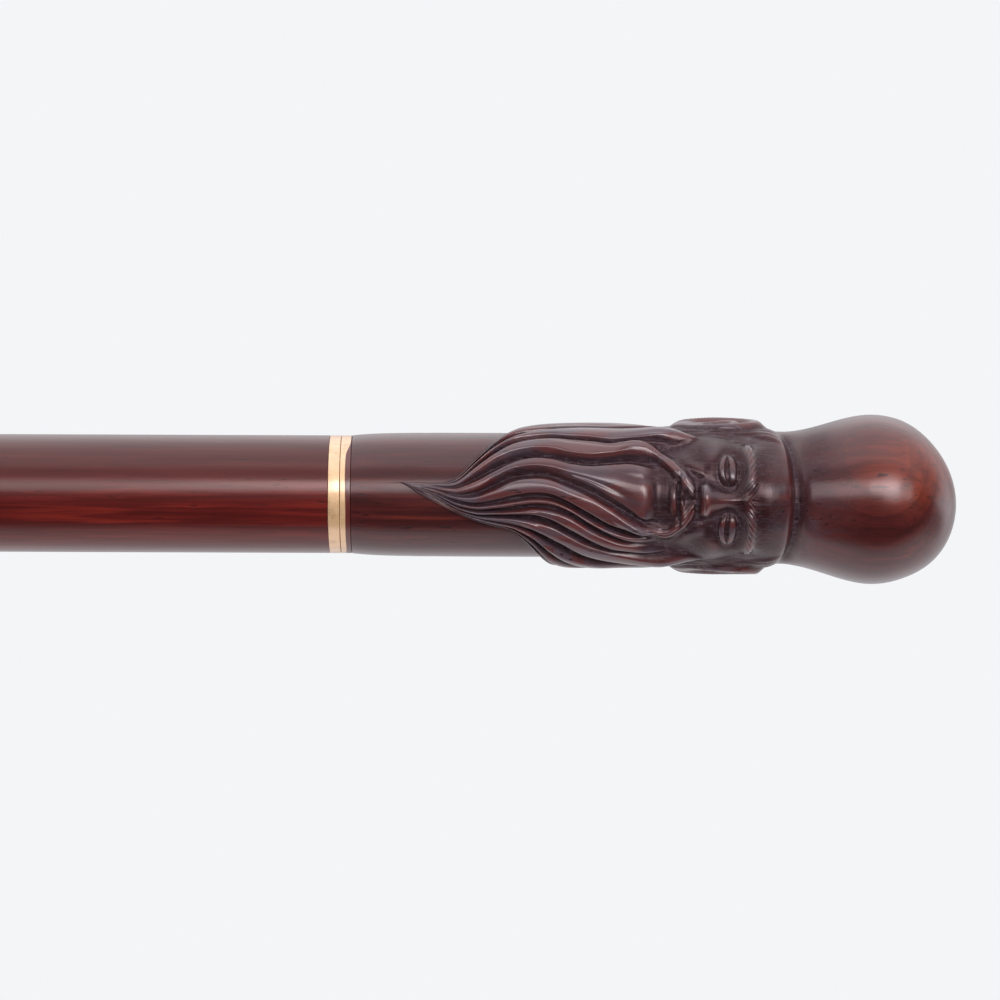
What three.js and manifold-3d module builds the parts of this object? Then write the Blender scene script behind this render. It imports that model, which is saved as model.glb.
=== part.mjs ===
// A walking cane in dark red hardwood. Its knob is the bald head of a bearded old sage, carved with
// the stem of the handle from one piece of wood. The handle unscrews from the shaft at a pair of brass
// collars, and the foot has a brass ferrule inside a bell-shaped rubber tip.
// Millimetres, +Z up along the cane, origin at the centre of the tread, the face looking along -Y.
import * as THREE from 'three';
import { mergeVertices } from 'three/addons/utils/BufferGeometryUtils.js';
import Module from 'manifold-3d';

const wasm = await Module();
wasm.setup();

// Overall and shaft
const overallLength = 900;
const shaftTopRadius = 12.5;
const shaftFootRadius = 10;
const parallelLength = 150; // the top of the shaft, below the collars, that has no taper
const bodySides = 36;

// Clearances
const seamGap = 0.1; // between faces that meet end to end
const glueGap = 0.2; // round a glued or pushed fit
const threadGap = 0.25; // radial play of the joint thread

// Handle blank, turned before it is carved
const handleLength = 128;
const knobRadius = 18;
const headRadius = 14.1;
const stemRadius = 13.15;
const stemEndRadius = 12.55;
const stemEase = 5; // how far up the handle its end rounds off
const headEase = 7; // half the length over which the stem swells into the head
const knobDrop = 19; // from the middle of the knob down to where the head starts to swell into it
const knobSteps = 9;

// Carved figure: the face is three equal thirds, from the crease under the knob to the chin
const creaseDrop = 16.8; // middle of the knob to the crease
const creaseDepth = 1.3;
const creaseHalfWidth = 0.75; // on the brow's side, where the crease is steep
const creaseEase = 1.7; // on the knob's side
const creaseSag = 2.6; // how much lower the crease runs at the sides
const faceLength = 31.5;
const faceBulge = 1.7;
const foreheadHeight = 0.6;
const browHeight = 1.1;
const noseHeight = 3.1;
const noseHalfWidth = 2.6;
const eyeSpacing = 5.6; // middle of the face to the middle of an eye
const eyeHalfWidth = 3.1;
const eyeHalfHeight = 2.3;
const eyeHeight = 1.9;
const socketDepth = 1.9;
const cheekHeight = 1.25;
const lipHeight = 0.9;
const lipHalfWidth = 3.6;
const moustacheHeight = 1.4;
const moustacheHalfWidth = 1.5;
const earHalfLength = 10.5;
const earHalfWidth = 4.3; // at its top
const lobeHalfWidth = 2.6;
const earHeight = 2.5;
const earRimHeight = 0.55;
const earHollowDepth = 1.7;
const beardLength = 51.5;
const beardThickness = 2.5;
const beardEdgeWidth = 2.2; // how far in from its edge the beard rounds up to its thickness
const cheekFade = 6; // how far below its top on the cheeks the beard reaches its thickness
const cutDepth = 1.4; // the deepest of the cuts between the beard's locks
const cutHalfWidth = 1; // the widest of them
const lockCrown = 0.28;
const lockRise = 0.35; // the most that one lock stands above the rest
const lockColumns = [3, 4, 4, 4, 9, 5, 4, 4, 4, 4, 3, 3]; // columns of corners across each lock
const backColumns = 17;

// Brass collars and the screw joint
const handleCollarWidth = 2.2;
const shaftCollarWidth = 2.3;
const collarChamfer = 0.2;
const spigotRadius = 9;
const spigotLength = 3;
const bushRadius = 7;
const anchorLength = 26;
const socketLength = 21;
const socketFloor = 2.4;
const barbDepth = 0.5;
const barbPitch = 4;
const threadPitch = 2.5;
const threadTurns = 5;
const threadRadius = 5; // over the crests of the stud
const threadDepth = 1;
const jointSides = 20;
const threadRows = 6; // rows of corners to one turn
const shankLength = 24;
const studTip = 1.5;

// Foot
const tipHeight = 40;
const tipFloor = 10;
const tipTopRadius = 13.4;
const tipWaistRadius = 12.8;
const tipBaseRadius = 17.5;
const tipBeadHeight = 4;
const tipFlareHeight = 17;
const tipRimHeight = 6;
const tipEdge = 1.2;
const treadDepth = 1.6;
const treadWidth = 2.1;
const treadCount = 3;
const washerRadius = 9.3;
const washerThickness = 1.6;
const ferruleLength = 38;
const ferruleWall = 0.8;
const ferruleFloor = 1;
const pinRadius = 0.8;
const pinLength = 6;
const pinHeadRadius = 1.5;
const pinHeadHeight = 0.7;
const pinDrop = 5; // from the top of the ferrule down to its pins
const pinSides = 12;

// Places along the cane
const handleBase = overallLength - handleLength;
const jointFace = handleBase - seamGap - handleCollarWidth;
const shaftCollarTop = jointFace - seamGap;
const shaftTop = shaftCollarTop - shaftCollarWidth - seamGap;
const ferruleBase = tipFloor + washerThickness + seamGap;
const ferruleTop = ferruleBase + ferruleLength;
const shaftFoot = ferruleBase + ferruleFloor + seamGap;
const pinLevel = ferruleTop - pinDrop;
const threadLength = threadPitch * threadTurns;
const bushBoreRadius = bushRadius + glueGap;
const spigotBoreRadius = spigotRadius + glueGap;
const spigotBoreDepth = spigotLength + glueGap;
const tenonRadius = shaftFootRadius - ferruleWall - glueGap;

// Places along the handle, from its base
const knobCentre = handleLength - knobRadius;
const crease = knobCentre - creaseDrop;
const third = faceLength / 3;
const browLine = crease - third;
const noseBase = browLine - third;
const chin = noseBase - third;
const beardTip = chin - beardLength;

const darkRedwood = new THREE.MeshStandardMaterial({ color: 0x4a1a14, roughness: 0.28, metalness: 0 });
const carvedRedwood = new THREE.MeshStandardMaterial({ color: 0x3f1713, roughness: 0.3, metalness: 0 });
const brass = new THREE.MeshStandardMaterial({ color: 0xdcb67a, roughness: 0.25, metalness: 1 });
const steel = new THREE.MeshStandardMaterial({ color: 0xa8abb0, roughness: 0.35, metalness: 1 });
const blackRubber = new THREE.MeshStandardMaterial({ color: 0x161616, roughness: 0.85, metalness: 0 });

const half = 0.5;
const barbShare = 0.7; // how much of a barb's pitch its slope takes
const { clamp } = THREE.MathUtils;
const bell = (...parts) => Math.exp(-parts.reduce((sum, part) => sum + part * part, 0));
const radians = THREE.MathUtils.degToRad;

// 0 at from, 1 at to and eased between them. from may be the larger.
function smooth(from, to, x) {
  const share = clamp((x - from) / (to - from), 0, 1);
  return share * share * (3 - 2 * share);
}

// A geometry with its position alone, its shared corners merged.
function welded(geometry) {
  geometry.deleteAttribute('normal');
  geometry.deleteAttribute('uv');
  return mergeVertices(geometry);
}

// A round piece from its outline of [radius, height] points. reshape gives each corner a new angle, round
// from the front, and a new radius, from its share of the way round, its height and its own radius.
function turned(outline, sides = bodySides, reshape = null) {
  const geometry = new THREE.LatheGeometry(outline.map(([r, z]) => new THREE.Vector2(r, z)), sides);
  geometry.rotateX(Math.PI / 2);
  if (reshape) {
    const corners = geometry.getAttribute('position');
    for (let i = 0; i < corners.count; i++) {
      const column = Math.floor(i / outline.length);
      const [radius, height] = outline[i % outline.length];
      const [angle, reach] = reshape((column % sides) / sides, height, radius);
      corners.setXYZ(i, reach * Math.sin(angle), -reach * Math.cos(angle), height);
    }
  }
  return welded(geometry);
}

function solidOf(geometry) {
  const vertProperties = geometry.getAttribute('position').array;
  const triVerts = new Uint32Array(geometry.index.array);
  return new wasm.Manifold(new wasm.Mesh({ numProp: 3, vertProperties, triVerts }));
}

function geometryOf(solid) {
  const { vertProperties, triVerts } = solid.getMesh();
  const geometry = new THREE.BufferGeometry();
  geometry.setAttribute('position', new THREE.BufferAttribute(new Float32Array(vertProperties), 3));
  geometry.setIndex(new THREE.BufferAttribute(new Uint32Array(triVerts), 1));
  return geometry;
}

function piece(name, geometry, material) {
  const mesh = new THREE.Mesh(geometry, material);
  mesh.name = name;
  return mesh;
}

// Carving

// The turned blank: a stem that rounds off at its end, a head a little wider, and the knob.
function blankRadius(height) {
  if (height > knobCentre) {
    return Math.sqrt(Math.max(0, knobRadius ** 2 - (height - knobCentre) ** 2));
  }
  const stem = stemRadius - (stemRadius - stemEndRadius) * Math.exp(-height / stemEase);
  const head = (headRadius - stemRadius) * smooth(chin - headEase, chin + headEase, height);
  const knob = (knobRadius - headRadius) * smooth(knobCentre - knobDrop, knobCentre, height);
  return stem + head + knob;
}

// The lines drawn on the beard before it is cut, at even steps from its tip up to the chin, as shares of
// how far the beard wraps round the stem: its left edge, the cuts between its locks, and its right edge.
const wrapAngle = radians(113);
const beardLineShares = [
  [-0.124, -0.124, -0.124, -0.168, -0.336, -0.549, -0.761, -0.929, -0.991, -1, -1, -1, -1, -1],
  [-0.124, -0.12, -0.119, -0.159, -0.31, -0.496, -0.646, -0.743,
    -0.788, -0.796, -0.796, -0.796, -0.788, -0.779],
  [-0.124, -0.117, -0.113, -0.146, -0.279, -0.434, -0.531, -0.584,
    -0.602, -0.611, -0.611, -0.602, -0.593, -0.584],
  [-0.124, -0.112, -0.106, -0.124, -0.235, -0.345, -0.434, -0.469,
    -0.478, -0.46, -0.442, -0.425, -0.429, -0.434],
  [-0.124, -0.103, -0.088, -0.084, -0.15, -0.23, -0.292, -0.319,
    -0.31, -0.274, -0.257, -0.265, -0.274, -0.257],
  [-0.124, -0.088, -0.058, -0.022, -0.035, -0.097, -0.159, -0.177,
    -0.159, -0.106, -0.053, 0.018, 0.097, 0.168],
  [-0.124, -0.08, -0.031, 0.022, 0.044, 0.027, 0, -0.018, -0.009, 0.044, 0.115, 0.186, 0.23, 0.257],
  [-0.124, -0.071, -0.013, 0.058, 0.088, 0.084, 0.071, 0.053, 0.062, 0.106, 0.186, 0.257, 0.31, 0.345],
  [-0.124, -0.062, 0, 0.08, 0.119, 0.124, 0.124, 0.133, 0.168, 0.239, 0.319, 0.381, 0.416, 0.442],
  [-0.124, -0.055, 0.016, 0.097, 0.146, 0.168, 0.19, 0.239, 0.327, 0.425, 0.504, 0.558, 0.593, 0.611],
  [-0.124, -0.048, 0.028, 0.109, 0.163, 0.195, 0.221, 0.327, 0.496, 0.628, 0.708, 0.743, 0.761, 0.77],
  [-0.124, -0.042, 0.039, 0.118, 0.175, 0.212, 0.248, 0.416, 0.664, 0.814, 0.867, 0.885, 0.894, 0.894],
  [-0.124, -0.035, 0.049, 0.124, 0.186, 0.23, 0.27, 0.504, 0.814, 0.991, 1, 1, 1, 1],
];

// How deep each cut is at the same steps, and how wide, and how high each lock stands.
const cutDepthShares = [
  [0, 0, 0, 0.2, 0.4, 0.5, 0.6, 0.7, 0.8, 0.8, 0.8, 0.7, 0.6, 0.4],
  [0, 0, 0.1, 0.3, 0.5, 0.6, 0.6, 0.6, 0.6, 0.6, 0.6, 0.6, 0.6, 0.4],
  [0, 0, 0.1, 0.2, 0.4, 0.5, 0.5, 0.5, 0.6, 0.8, 0.9, 0.9, 0.8, 0.5],
  [0, 0, 0.2, 0.4, 0.6, 0.8, 0.9, 0.9, 0.9, 0.9, 0.9, 0.9, 0.9, 0.8],
  [0, 0, 0.2, 0.3, 0.6, 0.9, 0.9, 0.9, 0.8, 0.7, 0.7, 0.7, 0.8, 0.8],
  [0, 0.1, 0.2, 0.4, 0.5, 0.5, 0.6, 0.7, 0.7, 0.7, 0.8, 0.8, 0.8, 0.7],
  [0, 0.1, 0.2, 0.4, 0.5, 0.6, 0.6, 0.6, 0.6, 0.7, 0.8, 0.7, 0.5, 0.3],
  [0, 0, 0.2, 0.4, 0.5, 0.6, 0.7, 0.8, 0.8, 0.8, 0.8, 0.8, 0.7, 0.5],
  [0, 0, 0.2, 0.4, 0.5, 0.6, 0.8, 0.9, 0.9, 0.9, 0.8, 0.7, 0.6, 0.4],
  [0, 0, 0.1, 0.3, 0.4, 0.5, 0.6, 0.7, 0.7, 0.7, 0.7, 0.7, 0.6, 0.4],
  [0, 0, 0.1, 0.3, 0.4, 0.5, 0.6, 0.7, 0.8, 0.8, 0.8, 0.7, 0.6, 0.4],
];
const cutWidthShares = [0.5, 0.42, 0.55, 0.8, 0.85, 0.55, 0.48, 0.6, 1, 0.5, 0.5];
const lockRiseShares = [-0.7, 0, 0.4, 0.9, 0.3, 1, 0, 0.6, 0, 0.3, -0.3, -0.6];

// A smooth curve through shares of a size at even steps along a length: x along it, y across.
function curveThrough(shares, size, length) {
  const last = shares.length - 1;
  return new THREE.SplineCurve(shares.map((share, step) => (
    new THREE.Vector2((length * step) / last, share * size)
  )));
}

const beardCurves = beardLineShares.map((shares) => (
  curveThrough(shares, wrapAngle * stemRadius, beardLength)
));
const cutCurves = cutDepthShares.map((shares) => curveThrough(shares, cutDepth, beardLength));
const beardShare = (height) => clamp((height - beardTip) / beardLength, 0, 1);
const angleOf = (curve, share) => curve.getPoint(share).y / stemRadius;

// The mesh's columns in front follow the locks, closer together at a lock's edges than in its middle.
const lockCrowdShare = 0.45;
const frontPlaces = lockColumns.flatMap((count, lock) => Array.from({ length: count }, (_, i) => {
  const even = i / count;
  return { lock, within: even - (lockCrowdShare * Math.sin(2 * Math.PI * even)) / (2 * Math.PI) };
}));
const frontColumns = frontPlaces.length;
const faceColumns = frontColumns + backColumns;
const leastHalfAngle = radians(30);
const tipShare = 0.01; // just above the tip, where the lines still lie apart
const crowdShare = 0.3;
const backCrowdShare = 0.4;

// The angle of a column at a height. On the face the front columns draw even and crowd together in the
// middle. The rest go round the back, closer together near the ears.
function columnAngle(roundShare, height) {
  const column = Math.round(roundShare * faceColumns);
  const share = Math.max(tipShare, beardShare(height));
  const [left, right] = [beardCurves[0], beardCurves.at(-1)].map((curve) => angleOf(curve, share));
  const middle = (left + right) * half;
  const reach = Math.max(leastHalfAngle, (right - left) * half);
  if (column >= frontColumns) {
    const back = (column - frontColumns) / backColumns;
    const backCrowd = backCrowdShare * smooth(chin - third, chin, height);
    const crowdedBack = back - (backCrowd * Math.sin(2 * Math.PI * back)) / (2 * Math.PI);
    return middle + reach + 2 * (Math.PI - reach) * crowdedBack;
  }
  const { lock, within } = frontPlaces[column];
  const start = angleOf(beardCurves[lock], share);
  const end = angleOf(beardCurves[lock + 1], share);
  const across = (start + (end - start) * within - left) / (right - left);
  const even = column / frontColumns;
  const crowded = even + (crowdShare * Math.sin(2 * Math.PI * even)) / (2 * Math.PI);
  const onFace = smooth(chin, chin + third, height);
  return middle + reach * (2 * (across + (crowded - across) * onFace) - 1);
}

// Where the beard stops on the face: under the lip in front, and a little higher at the ears.
const sideburnRise = third * 0.5;
const beardLip = third * 0.28;

function beardTop(angle) {
  const side = smooth(0, Math.PI / 2, Math.abs(angle));
  return chin + beardLip + sideburnRise * side;
}

// How deep the cuts are at a place: each has a round floor and ends before the middle of the lock
// beside it.
const cutReachShare = 0.36;

function cutRelief(lines, angle, share) {
  return cutCurves.reduce((deepest, curve, i) => {
    const line = lines[i + 1];
    const gap = Math.min(line.angle - lines[i].angle, lines[i + 2].angle - line.angle);
    const widest = cutHalfWidth * cutWidthShares[i];
    const width = Math.min(widest, gap * line.upright * stemRadius * cutReachShare);
    const away = (Math.abs(angle - line.angle) * line.upright * stemRadius) / width;
    const depth = (curve.getPoint(share).y * width) / widest;
    return Math.max(deepest, depth * (1 - Math.min(1, away) ** 1.5));
  }, 0);
}

// The beard's own relief: a cushioned mass that thins towards the tip, with crowned locks between the
// cuts. It ends in a soft edge, softest on the cheeks.
const edgeWidthShare = 0.4;
const massFullShare = 0.8;
const lockFullShare = 0.45;
const thinTipShare = 0.3;
const frontSwellShare = 0.28;

function beardRelief(angle, height) {
  const share = beardShare(height);
  const fromTop = beardTop(angle) - height;
  if (share === 0 || fromTop <= 0) return 0;
  const lines = beardCurves.map((curve) => (
    { angle: angleOf(curve, share), upright: curve.getTangent(share).x }
  ));
  const [left, right] = [lines[0], lines.at(-1)];
  const fromLeft = (angle - left.angle) * left.upright * stemRadius;
  const fromRight = (right.angle - angle) * right.upright * stemRadius;
  const inside = Math.min(fromLeft, fromRight);
  if (inside <= 0) return 0;
  const width = (right.angle - left.angle) * stemRadius;
  const edge = Math.min(1, inside / Math.min(beardEdgeWidth, width * edgeWidthShare));
  const rounded = Math.sqrt(1 - (1 - edge) ** 2) * smooth(0, cheekFade, fromTop);
  const full = thinTipShare + (1 - thinTipShare) * smooth(0, massFullShare, share);
  const mass = beardThickness * full * (1 + frontSwellShare * Math.cos(angle));
  const lock = lockColumns.findLastIndex((_, i) => angle >= lines[i].angle);
  const within = (angle - lines[lock].angle) / (lines[lock + 1].angle - lines[lock].angle);
  const crown = lockCrown * (1 - (2 * within - 1) ** 2) + lockRise * lockRiseShares[lock];
  return rounded * (mass + crown * smooth(0, lockFullShare, share) - cutRelief(lines, angle, share));
}

// Each feature of the face is a soft bump on the blank, placed by the thirds of the face and shaped by
// shares of a third or of its own size. side is the distance from the middle, seen from the front.
const noseShares = { root: 0.12, tip: 0.18, underside: 0.06, bridge: 0.5, spread: 0.42, ball: 0.1 };
const wingShares = { place: 0.83, width: 0.42, length: 0.12, height: 0.32 };

function noseRelief(side, height) {
  const tip = noseBase + third * noseShares.tip;
  const root = browLine - third * noseShares.root;
  const down = clamp((root - height) / (root - tip), 0, 1);
  const under = smooth(noseBase - third * noseShares.underside, tip, height);
  const ridge = bell(side / (noseHalfWidth * (noseShares.bridge + noseShares.spread * down)));
  const fromTip = (height - tip) / (third * wingShares.length);
  const wingSide = (side - noseHalfWidth * wingShares.place) / (noseHalfWidth * wingShares.width);
  const wing = bell(wingSide, fromTip);
  const ball = bell(side / (noseHalfWidth * wingShares.place), fromTip);
  return noseHeight * (down * under * ridge + wingShares.height * wing + noseShares.ball * ball);
}

const eyeLine = browLine - third * 0.36;
const socketShares = { width: 1.25, height: 1.2 };

function eyeRelief(side, height) {
  const out = (side - eyeSpacing) / eyeHalfWidth;
  const up = (height - eyeLine) / eyeHalfHeight;
  const ball = Math.sqrt(Math.max(0, 1 - out * out - up * up));
  return eyeHeight * ball - socketDepth * bell(out / socketShares.width, up / socketShares.height);
}

const browShares = { rise: 0.1, drop: 0.3, width: 0.14, start: 1.8, end: 2.2 };
const foreheadShares = { rise: 0.55, width: 0.86, height: 0.4 };

function browRelief(side, height) {
  const drop = third * browShares.drop * ((side - eyeSpacing) / (2 * eyeSpacing)) ** 2;
  const arch = browLine + third * browShares.rise - drop;
  const reach = smooth(browShares.end * eyeSpacing, browShares.start * eyeSpacing, side);
  const up = (height - browLine - third * foreheadShares.rise) / (third * foreheadShares.height);
  const forehead = foreheadHeight * bell(side / (third * foreheadShares.width), up);
  return browHeight * bell((height - arch) / (third * browShares.width)) * reach + forehead;
}

const upperLipShares = { drop: 0.29, width: 1, length: 0.07 };
const lowerLipShares = { drop: 0.46, width: 0.85, length: 0.08 };

function lipRelief(side, height) {
  const lip = ({ drop, width, length }) => (
    bell(side / (lipHalfWidth * width), (height - noseBase + third * drop) / (third * length))
  );
  return lipHeight * (lip(upperLipShares) + lip(lowerLipShares));
}

const cheekShares = { place: 1.57, drop: -0.42, width: 0.34, length: 0.31 };

function cheekRelief(side, height) {
  const out = (side - eyeSpacing * cheekShares.place) / (third * cheekShares.width);
  const up = (height - noseBase + third * cheekShares.drop) / (third * cheekShares.length);
  return cheekHeight * bell(out, up);
}

// The moustache: two locks that part under the nose, run out round the mouth and turn down into the
// beard. Their middles are shares of the same angle as the beard's lines, at even steps up to the nose.
const moustacheLineShares = [
  [-0.345, -0.363, -0.363, -0.336, -0.265, -0.159, -0.035],
  [0.106, 0.15, 0.195, 0.23, 0.239, 0.159, 0.035],
];
const moustacheDrop = third * 1.75; // from the nose down to the ends of the locks
const moustacheFadeShares = { full: 0.45, start: 0.95, end: 1.03 };
const moustacheCurves = moustacheLineShares.map((shares) => (
  curveThrough(shares, wrapAngle * headRadius, moustacheDrop)
));

function moustacheRelief(angle, height) {
  const share = (height - noseBase) / moustacheDrop + 1;
  const fade = smooth(0, moustacheFadeShares.full, share)
    * smooth(moustacheFadeShares.end, moustacheFadeShares.start, share);
  if (fade === 0) return 0;
  const along = Math.min(1, share);
  const locks = moustacheCurves.map((curve) => {
    const away = (angle * headRadius - curve.getPoint(along).y) * curve.getTangent(along).x;
    return bell(away / moustacheHalfWidth);
  });
  return moustacheHeight * fade * Math.max(...locks);
}

// An ear with a long lobe: an egg outline that stands out at the back, with a rim and a bowl in it.
const earAngle = radians(88);
const earShares = { lean: 0.07, narrow: -0.76, wide: 0.48, outer: 1.35, inner: 0.75, front: 0.78 };
const earRimShares = { place: 0.8, width: 0.15, start: -0.6, end: -0.1 };
const earBowlShares = { width: 0.36, length: 0.3 };

function earRelief(angle, height) {
  const across = (Math.abs(angle) - earAngle) * headRadius;
  const up = height - (browLine + noseBase) * half;
  const upper = smooth(earHalfLength * earShares.narrow, earHalfLength * earShares.wide, up);
  const halfWidth = lobeHalfWidth + (earHalfWidth - lobeHalfWidth) * upper;
  const out = (across - up * earShares.lean) / halfWidth;
  const oval = Math.hypot(out, up / earHalfLength);
  const slope = earShares.front + (1 - earShares.front) * clamp(out, -1, 1);
  const plate = earHeight * smooth(earShares.outer, earShares.inner, oval) * slope;
  const rolled = smooth(earRimShares.start * earHalfLength, earRimShares.end * earHalfLength, up);
  const rim = earRimHeight * rolled * bell((oval - earRimShares.place) / earRimShares.width);
  const fromBowl = up / (earHalfLength * earBowlShares.length);
  const bowl = earHollowDepth * bell(across / (earHalfWidth * earBowlShares.width), fromBowl);
  return Math.max(0, plate + rim - bowl);
}

// The crease where the knob meets the brow, lower at the sides and gone behind the ears: steep on the
// brow's side and gentle on the knob's.
const creaseEndAngle = radians(95);
const faceEndAngle = radians(80);
const faceFullAngle = radians(60);

function creaseRelief(angle, height) {
  const above = height - crease + creaseSag * (1 - Math.cos(angle));
  const reach = smooth(creaseEndAngle, faceFullAngle, Math.abs(angle));
  return -creaseDepth * bell(above / (above > 0 ? creaseEase : creaseHalfWidth)) * reach;
}

const faceAngle = radians(44);
const faceShares = { under: 0.3, chin: 0.4, forehead: 0.8 };

function faceRelief(angle, height) {
  const side = headRadius * Math.sin(Math.min(Math.abs(angle), Math.PI / 2));
  const fromChin = smooth(chin - third * faceShares.under, chin + third * faceShares.chin, height);
  const toForehead = smooth(crease, crease - third * faceShares.forehead, height);
  const features = noseRelief(side, height) + eyeRelief(side, height) + browRelief(side, height)
    + lipRelief(side, height) + cheekRelief(side, height);
  const front = smooth(faceEndAngle, faceFullAngle, Math.abs(angle));
  return faceBulge * bell(angle / faceAngle) * fromChin * toForehead + features * front;
}

function carvedRadius(angle, height) {
  const figure = Math.max(faceRelief(angle, height), beardRelief(angle, height));
  const raised = Math.max(figure + moustacheRelief(angle, height), earRelief(angle, height));
  return blankRadius(height) + raised + creaseRelief(angle, height);
}

// Handle

function handleRows() {
  const spread = (from, to, step) => {
    const count = Math.max(1, Math.round((to - from) / step));
    return Array.from({ length: count }, (_, i) => from + ((to - from) * i) / count);
  };
  const stemRows = spread(0, beardTip, beardTip / 3);
  const beardRows = spread(beardTip, chin, beardLength / 26);
  const faceRows = spread(chin, crease + creaseHalfWidth, faceLength / 30);
  const neckRows = spread(crease + creaseHalfWidth, knobCentre, creaseDrop / 7);
  const capRows = Array.from({ length: knobSteps }, (_, i) => (
    knobCentre + knobRadius * Math.sin((Math.PI / 2) * (i / knobSteps))
  ));
  return [...stemRows, ...beardRows, ...faceRows, ...neckRows, ...capRows];
}

function carvedHandle() {
  const boreEnd = anchorLength - handleCollarWidth + glueGap;
  const bore = [[0, boreEnd], [bushBoreRadius, boreEnd], [bushBoreRadius, spigotBoreDepth],
    [spigotBoreRadius, spigotBoreDepth], [spigotBoreRadius, 0]];
  const skin = handleRows().map((height) => [blankRadius(height), height]);
  const outline = [...bore, ...skin, [0, handleLength]];
  const carve = (roundShare, height, radius) => {
    const isBore = radius < stemEndRadius && height <= boreEnd;
    if (isBore || radius === 0) return [columnAngle(roundShare, 0), radius];
    const angle = columnAngle(roundShare, height);
    return [angle, carvedRadius(angle > Math.PI ? angle - 2 * Math.PI : angle, height)];
  };
  return turned(outline, faceColumns, carve);
}

// A collar: a chamfered ring as wide as the cane, with a spigot let into the end of the wood.
// It is drawn with its meeting face at 0 and the wood above.
function collar(width) {
  return turned([
    [bushBoreRadius, 0], [shaftTopRadius - collarChamfer, 0], [shaftTopRadius, collarChamfer],
    [shaftTopRadius, width - collarChamfer], [shaftTopRadius - collarChamfer, width], [spigotRadius, width],
    [spigotRadius, width + spigotLength], [bushBoreRadius, width + spigotLength], [bushBoreRadius, 0],
  ]);
}

// The barbed outside of a bush that is glued in the wood, from its meeting face at 0 up.
function barbs(length) {
  const points = [[bushRadius, 0], [bushRadius, spigotLength + barbPitch]];
  for (let z = spigotLength + barbPitch; z + barbPitch < length; z += barbPitch) {
    const barb = [[bushRadius - barbDepth, z], [bushRadius, z + barbPitch * barbShare]];
    points.push(...barb, [bushRadius, z + barbPitch]);
  }
  return [...points, [bushRadius, length]];
}

const shankBoreRadius = threadRadius + glueGap;

function handleAnchor() {
  const bore = [[shankBoreRadius, anchorLength], [shankBoreRadius, 0]];
  return turned([[shankBoreRadius, 0], ...barbs(anchorLength), ...bore], jointSides);
}

// How much of the round thread's depth stands at a place: all of it on the crest line, which climbs one
// pitch a turn, and none at the free end, from which height is measured.
function threadShare(angle, height) {
  const crest = (1 + Math.cos(2 * Math.PI * (height / threadPitch) - angle)) * half;
  return crest * smooth(0, threadPitch, height);
}

// How far the end of the thread at the meeting face has given way: to the stud's undercut in one half
// pitch, and to the socket's countersunk mouth.
const threadRunout = (height) => smooth(threadLength - threadPitch * half, threadLength, height);

function threadHeights() {
  const count = threadTurns * threadRows;
  return Array.from({ length: count + 1 }, (_, i) => (threadLength * i) / count);
}

// The stud, from the meeting face at 0: a plain shank above, glued in the anchor, and the thread below.
function jointStud() {
  const core = threadRadius - threadDepth;
  const rows = threadHeights().map((height) => [core, height - threadLength]);
  const point = [[0, -threadLength - studTip], [core - studTip * half, -threadLength - studTip]];
  const shank = [[threadRadius, 0], [threadRadius, shankLength - collarChamfer],
    [threadRadius - collarChamfer, shankLength], [0, shankLength]];
  const cut = (roundShare, height, radius) => {
    const angle = 2 * Math.PI * roundShare;
    const up = height + threadLength;
    const isThread = radius === core && height < 0;
    const rise = threadShare(angle, up) * (1 - threadRunout(up));
    return [angle, isThread ? core + threadDepth * rise : radius];
  };
  return turned([...point, ...rows, ...shank], jointSides, cut);
}

// The socket, from its meeting face at 0 down: a blind bush with the thread that the stud turns in.
function shaftSocket() {
  const core = threadRadius - threadDepth + threadGap;
  const rows = threadHeights().reverse().map((height) => [core, height - threadLength]);
  const outside = barbs(socketLength).map(([r, z]) => [r, -z]).reverse();
  const outline = [[0, -socketLength], ...outside, [threadRadius + threadGap, 0], ...rows.slice(1),
    [core, socketFloor - socketLength], [0, socketFloor - socketLength]];
  const cut = (roundShare, height, radius) => {
    const angle = 2 * Math.PI * roundShare;
    const up = height + threadLength;
    const isThread = radius === core && up > 0;
    const cutDepth = 1 - (1 - threadShare(angle, up)) * (1 - threadRunout(up));
    return [angle, isThread ? core + threadDepth * cutDepth : radius];
  };
  return turned(outline, jointSides, cut);
}

// Shaft and foot

function shaft() {
  const socketBottom = shaftCollarTop - socketLength - glueGap;
  const rough = turned([
    [0, shaftFoot], [tenonRadius - collarChamfer, shaftFoot], [tenonRadius, shaftFoot + collarChamfer],
    [tenonRadius, ferruleTop + seamGap], [shaftFootRadius, ferruleTop + seamGap],
    [shaftTopRadius, shaftTop - parallelLength], [shaftTopRadius, shaftTop],
    [spigotBoreRadius, shaftTop], [spigotBoreRadius, shaftTop - spigotBoreDepth],
    [bushBoreRadius, shaftTop - spigotBoreDepth], [bushBoreRadius, socketBottom], [0, socketBottom],
  ]);
  return geometryOf(solidOf(rough).subtract(pinHoles()));
}

function footFerrule() {
  const cup = turned([
    [0, ferruleBase], [shaftFootRadius - collarChamfer, ferruleBase],
    [shaftFootRadius, ferruleBase + collarChamfer], [shaftFootRadius, ferruleTop],
    [shaftFootRadius - ferruleWall, ferruleTop],
    [shaftFootRadius - ferruleWall, ferruleBase + ferruleFloor], [0, ferruleBase + ferruleFloor],
  ]);
  return geometryOf(solidOf(cup).subtract(pinHoles()));
}

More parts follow.
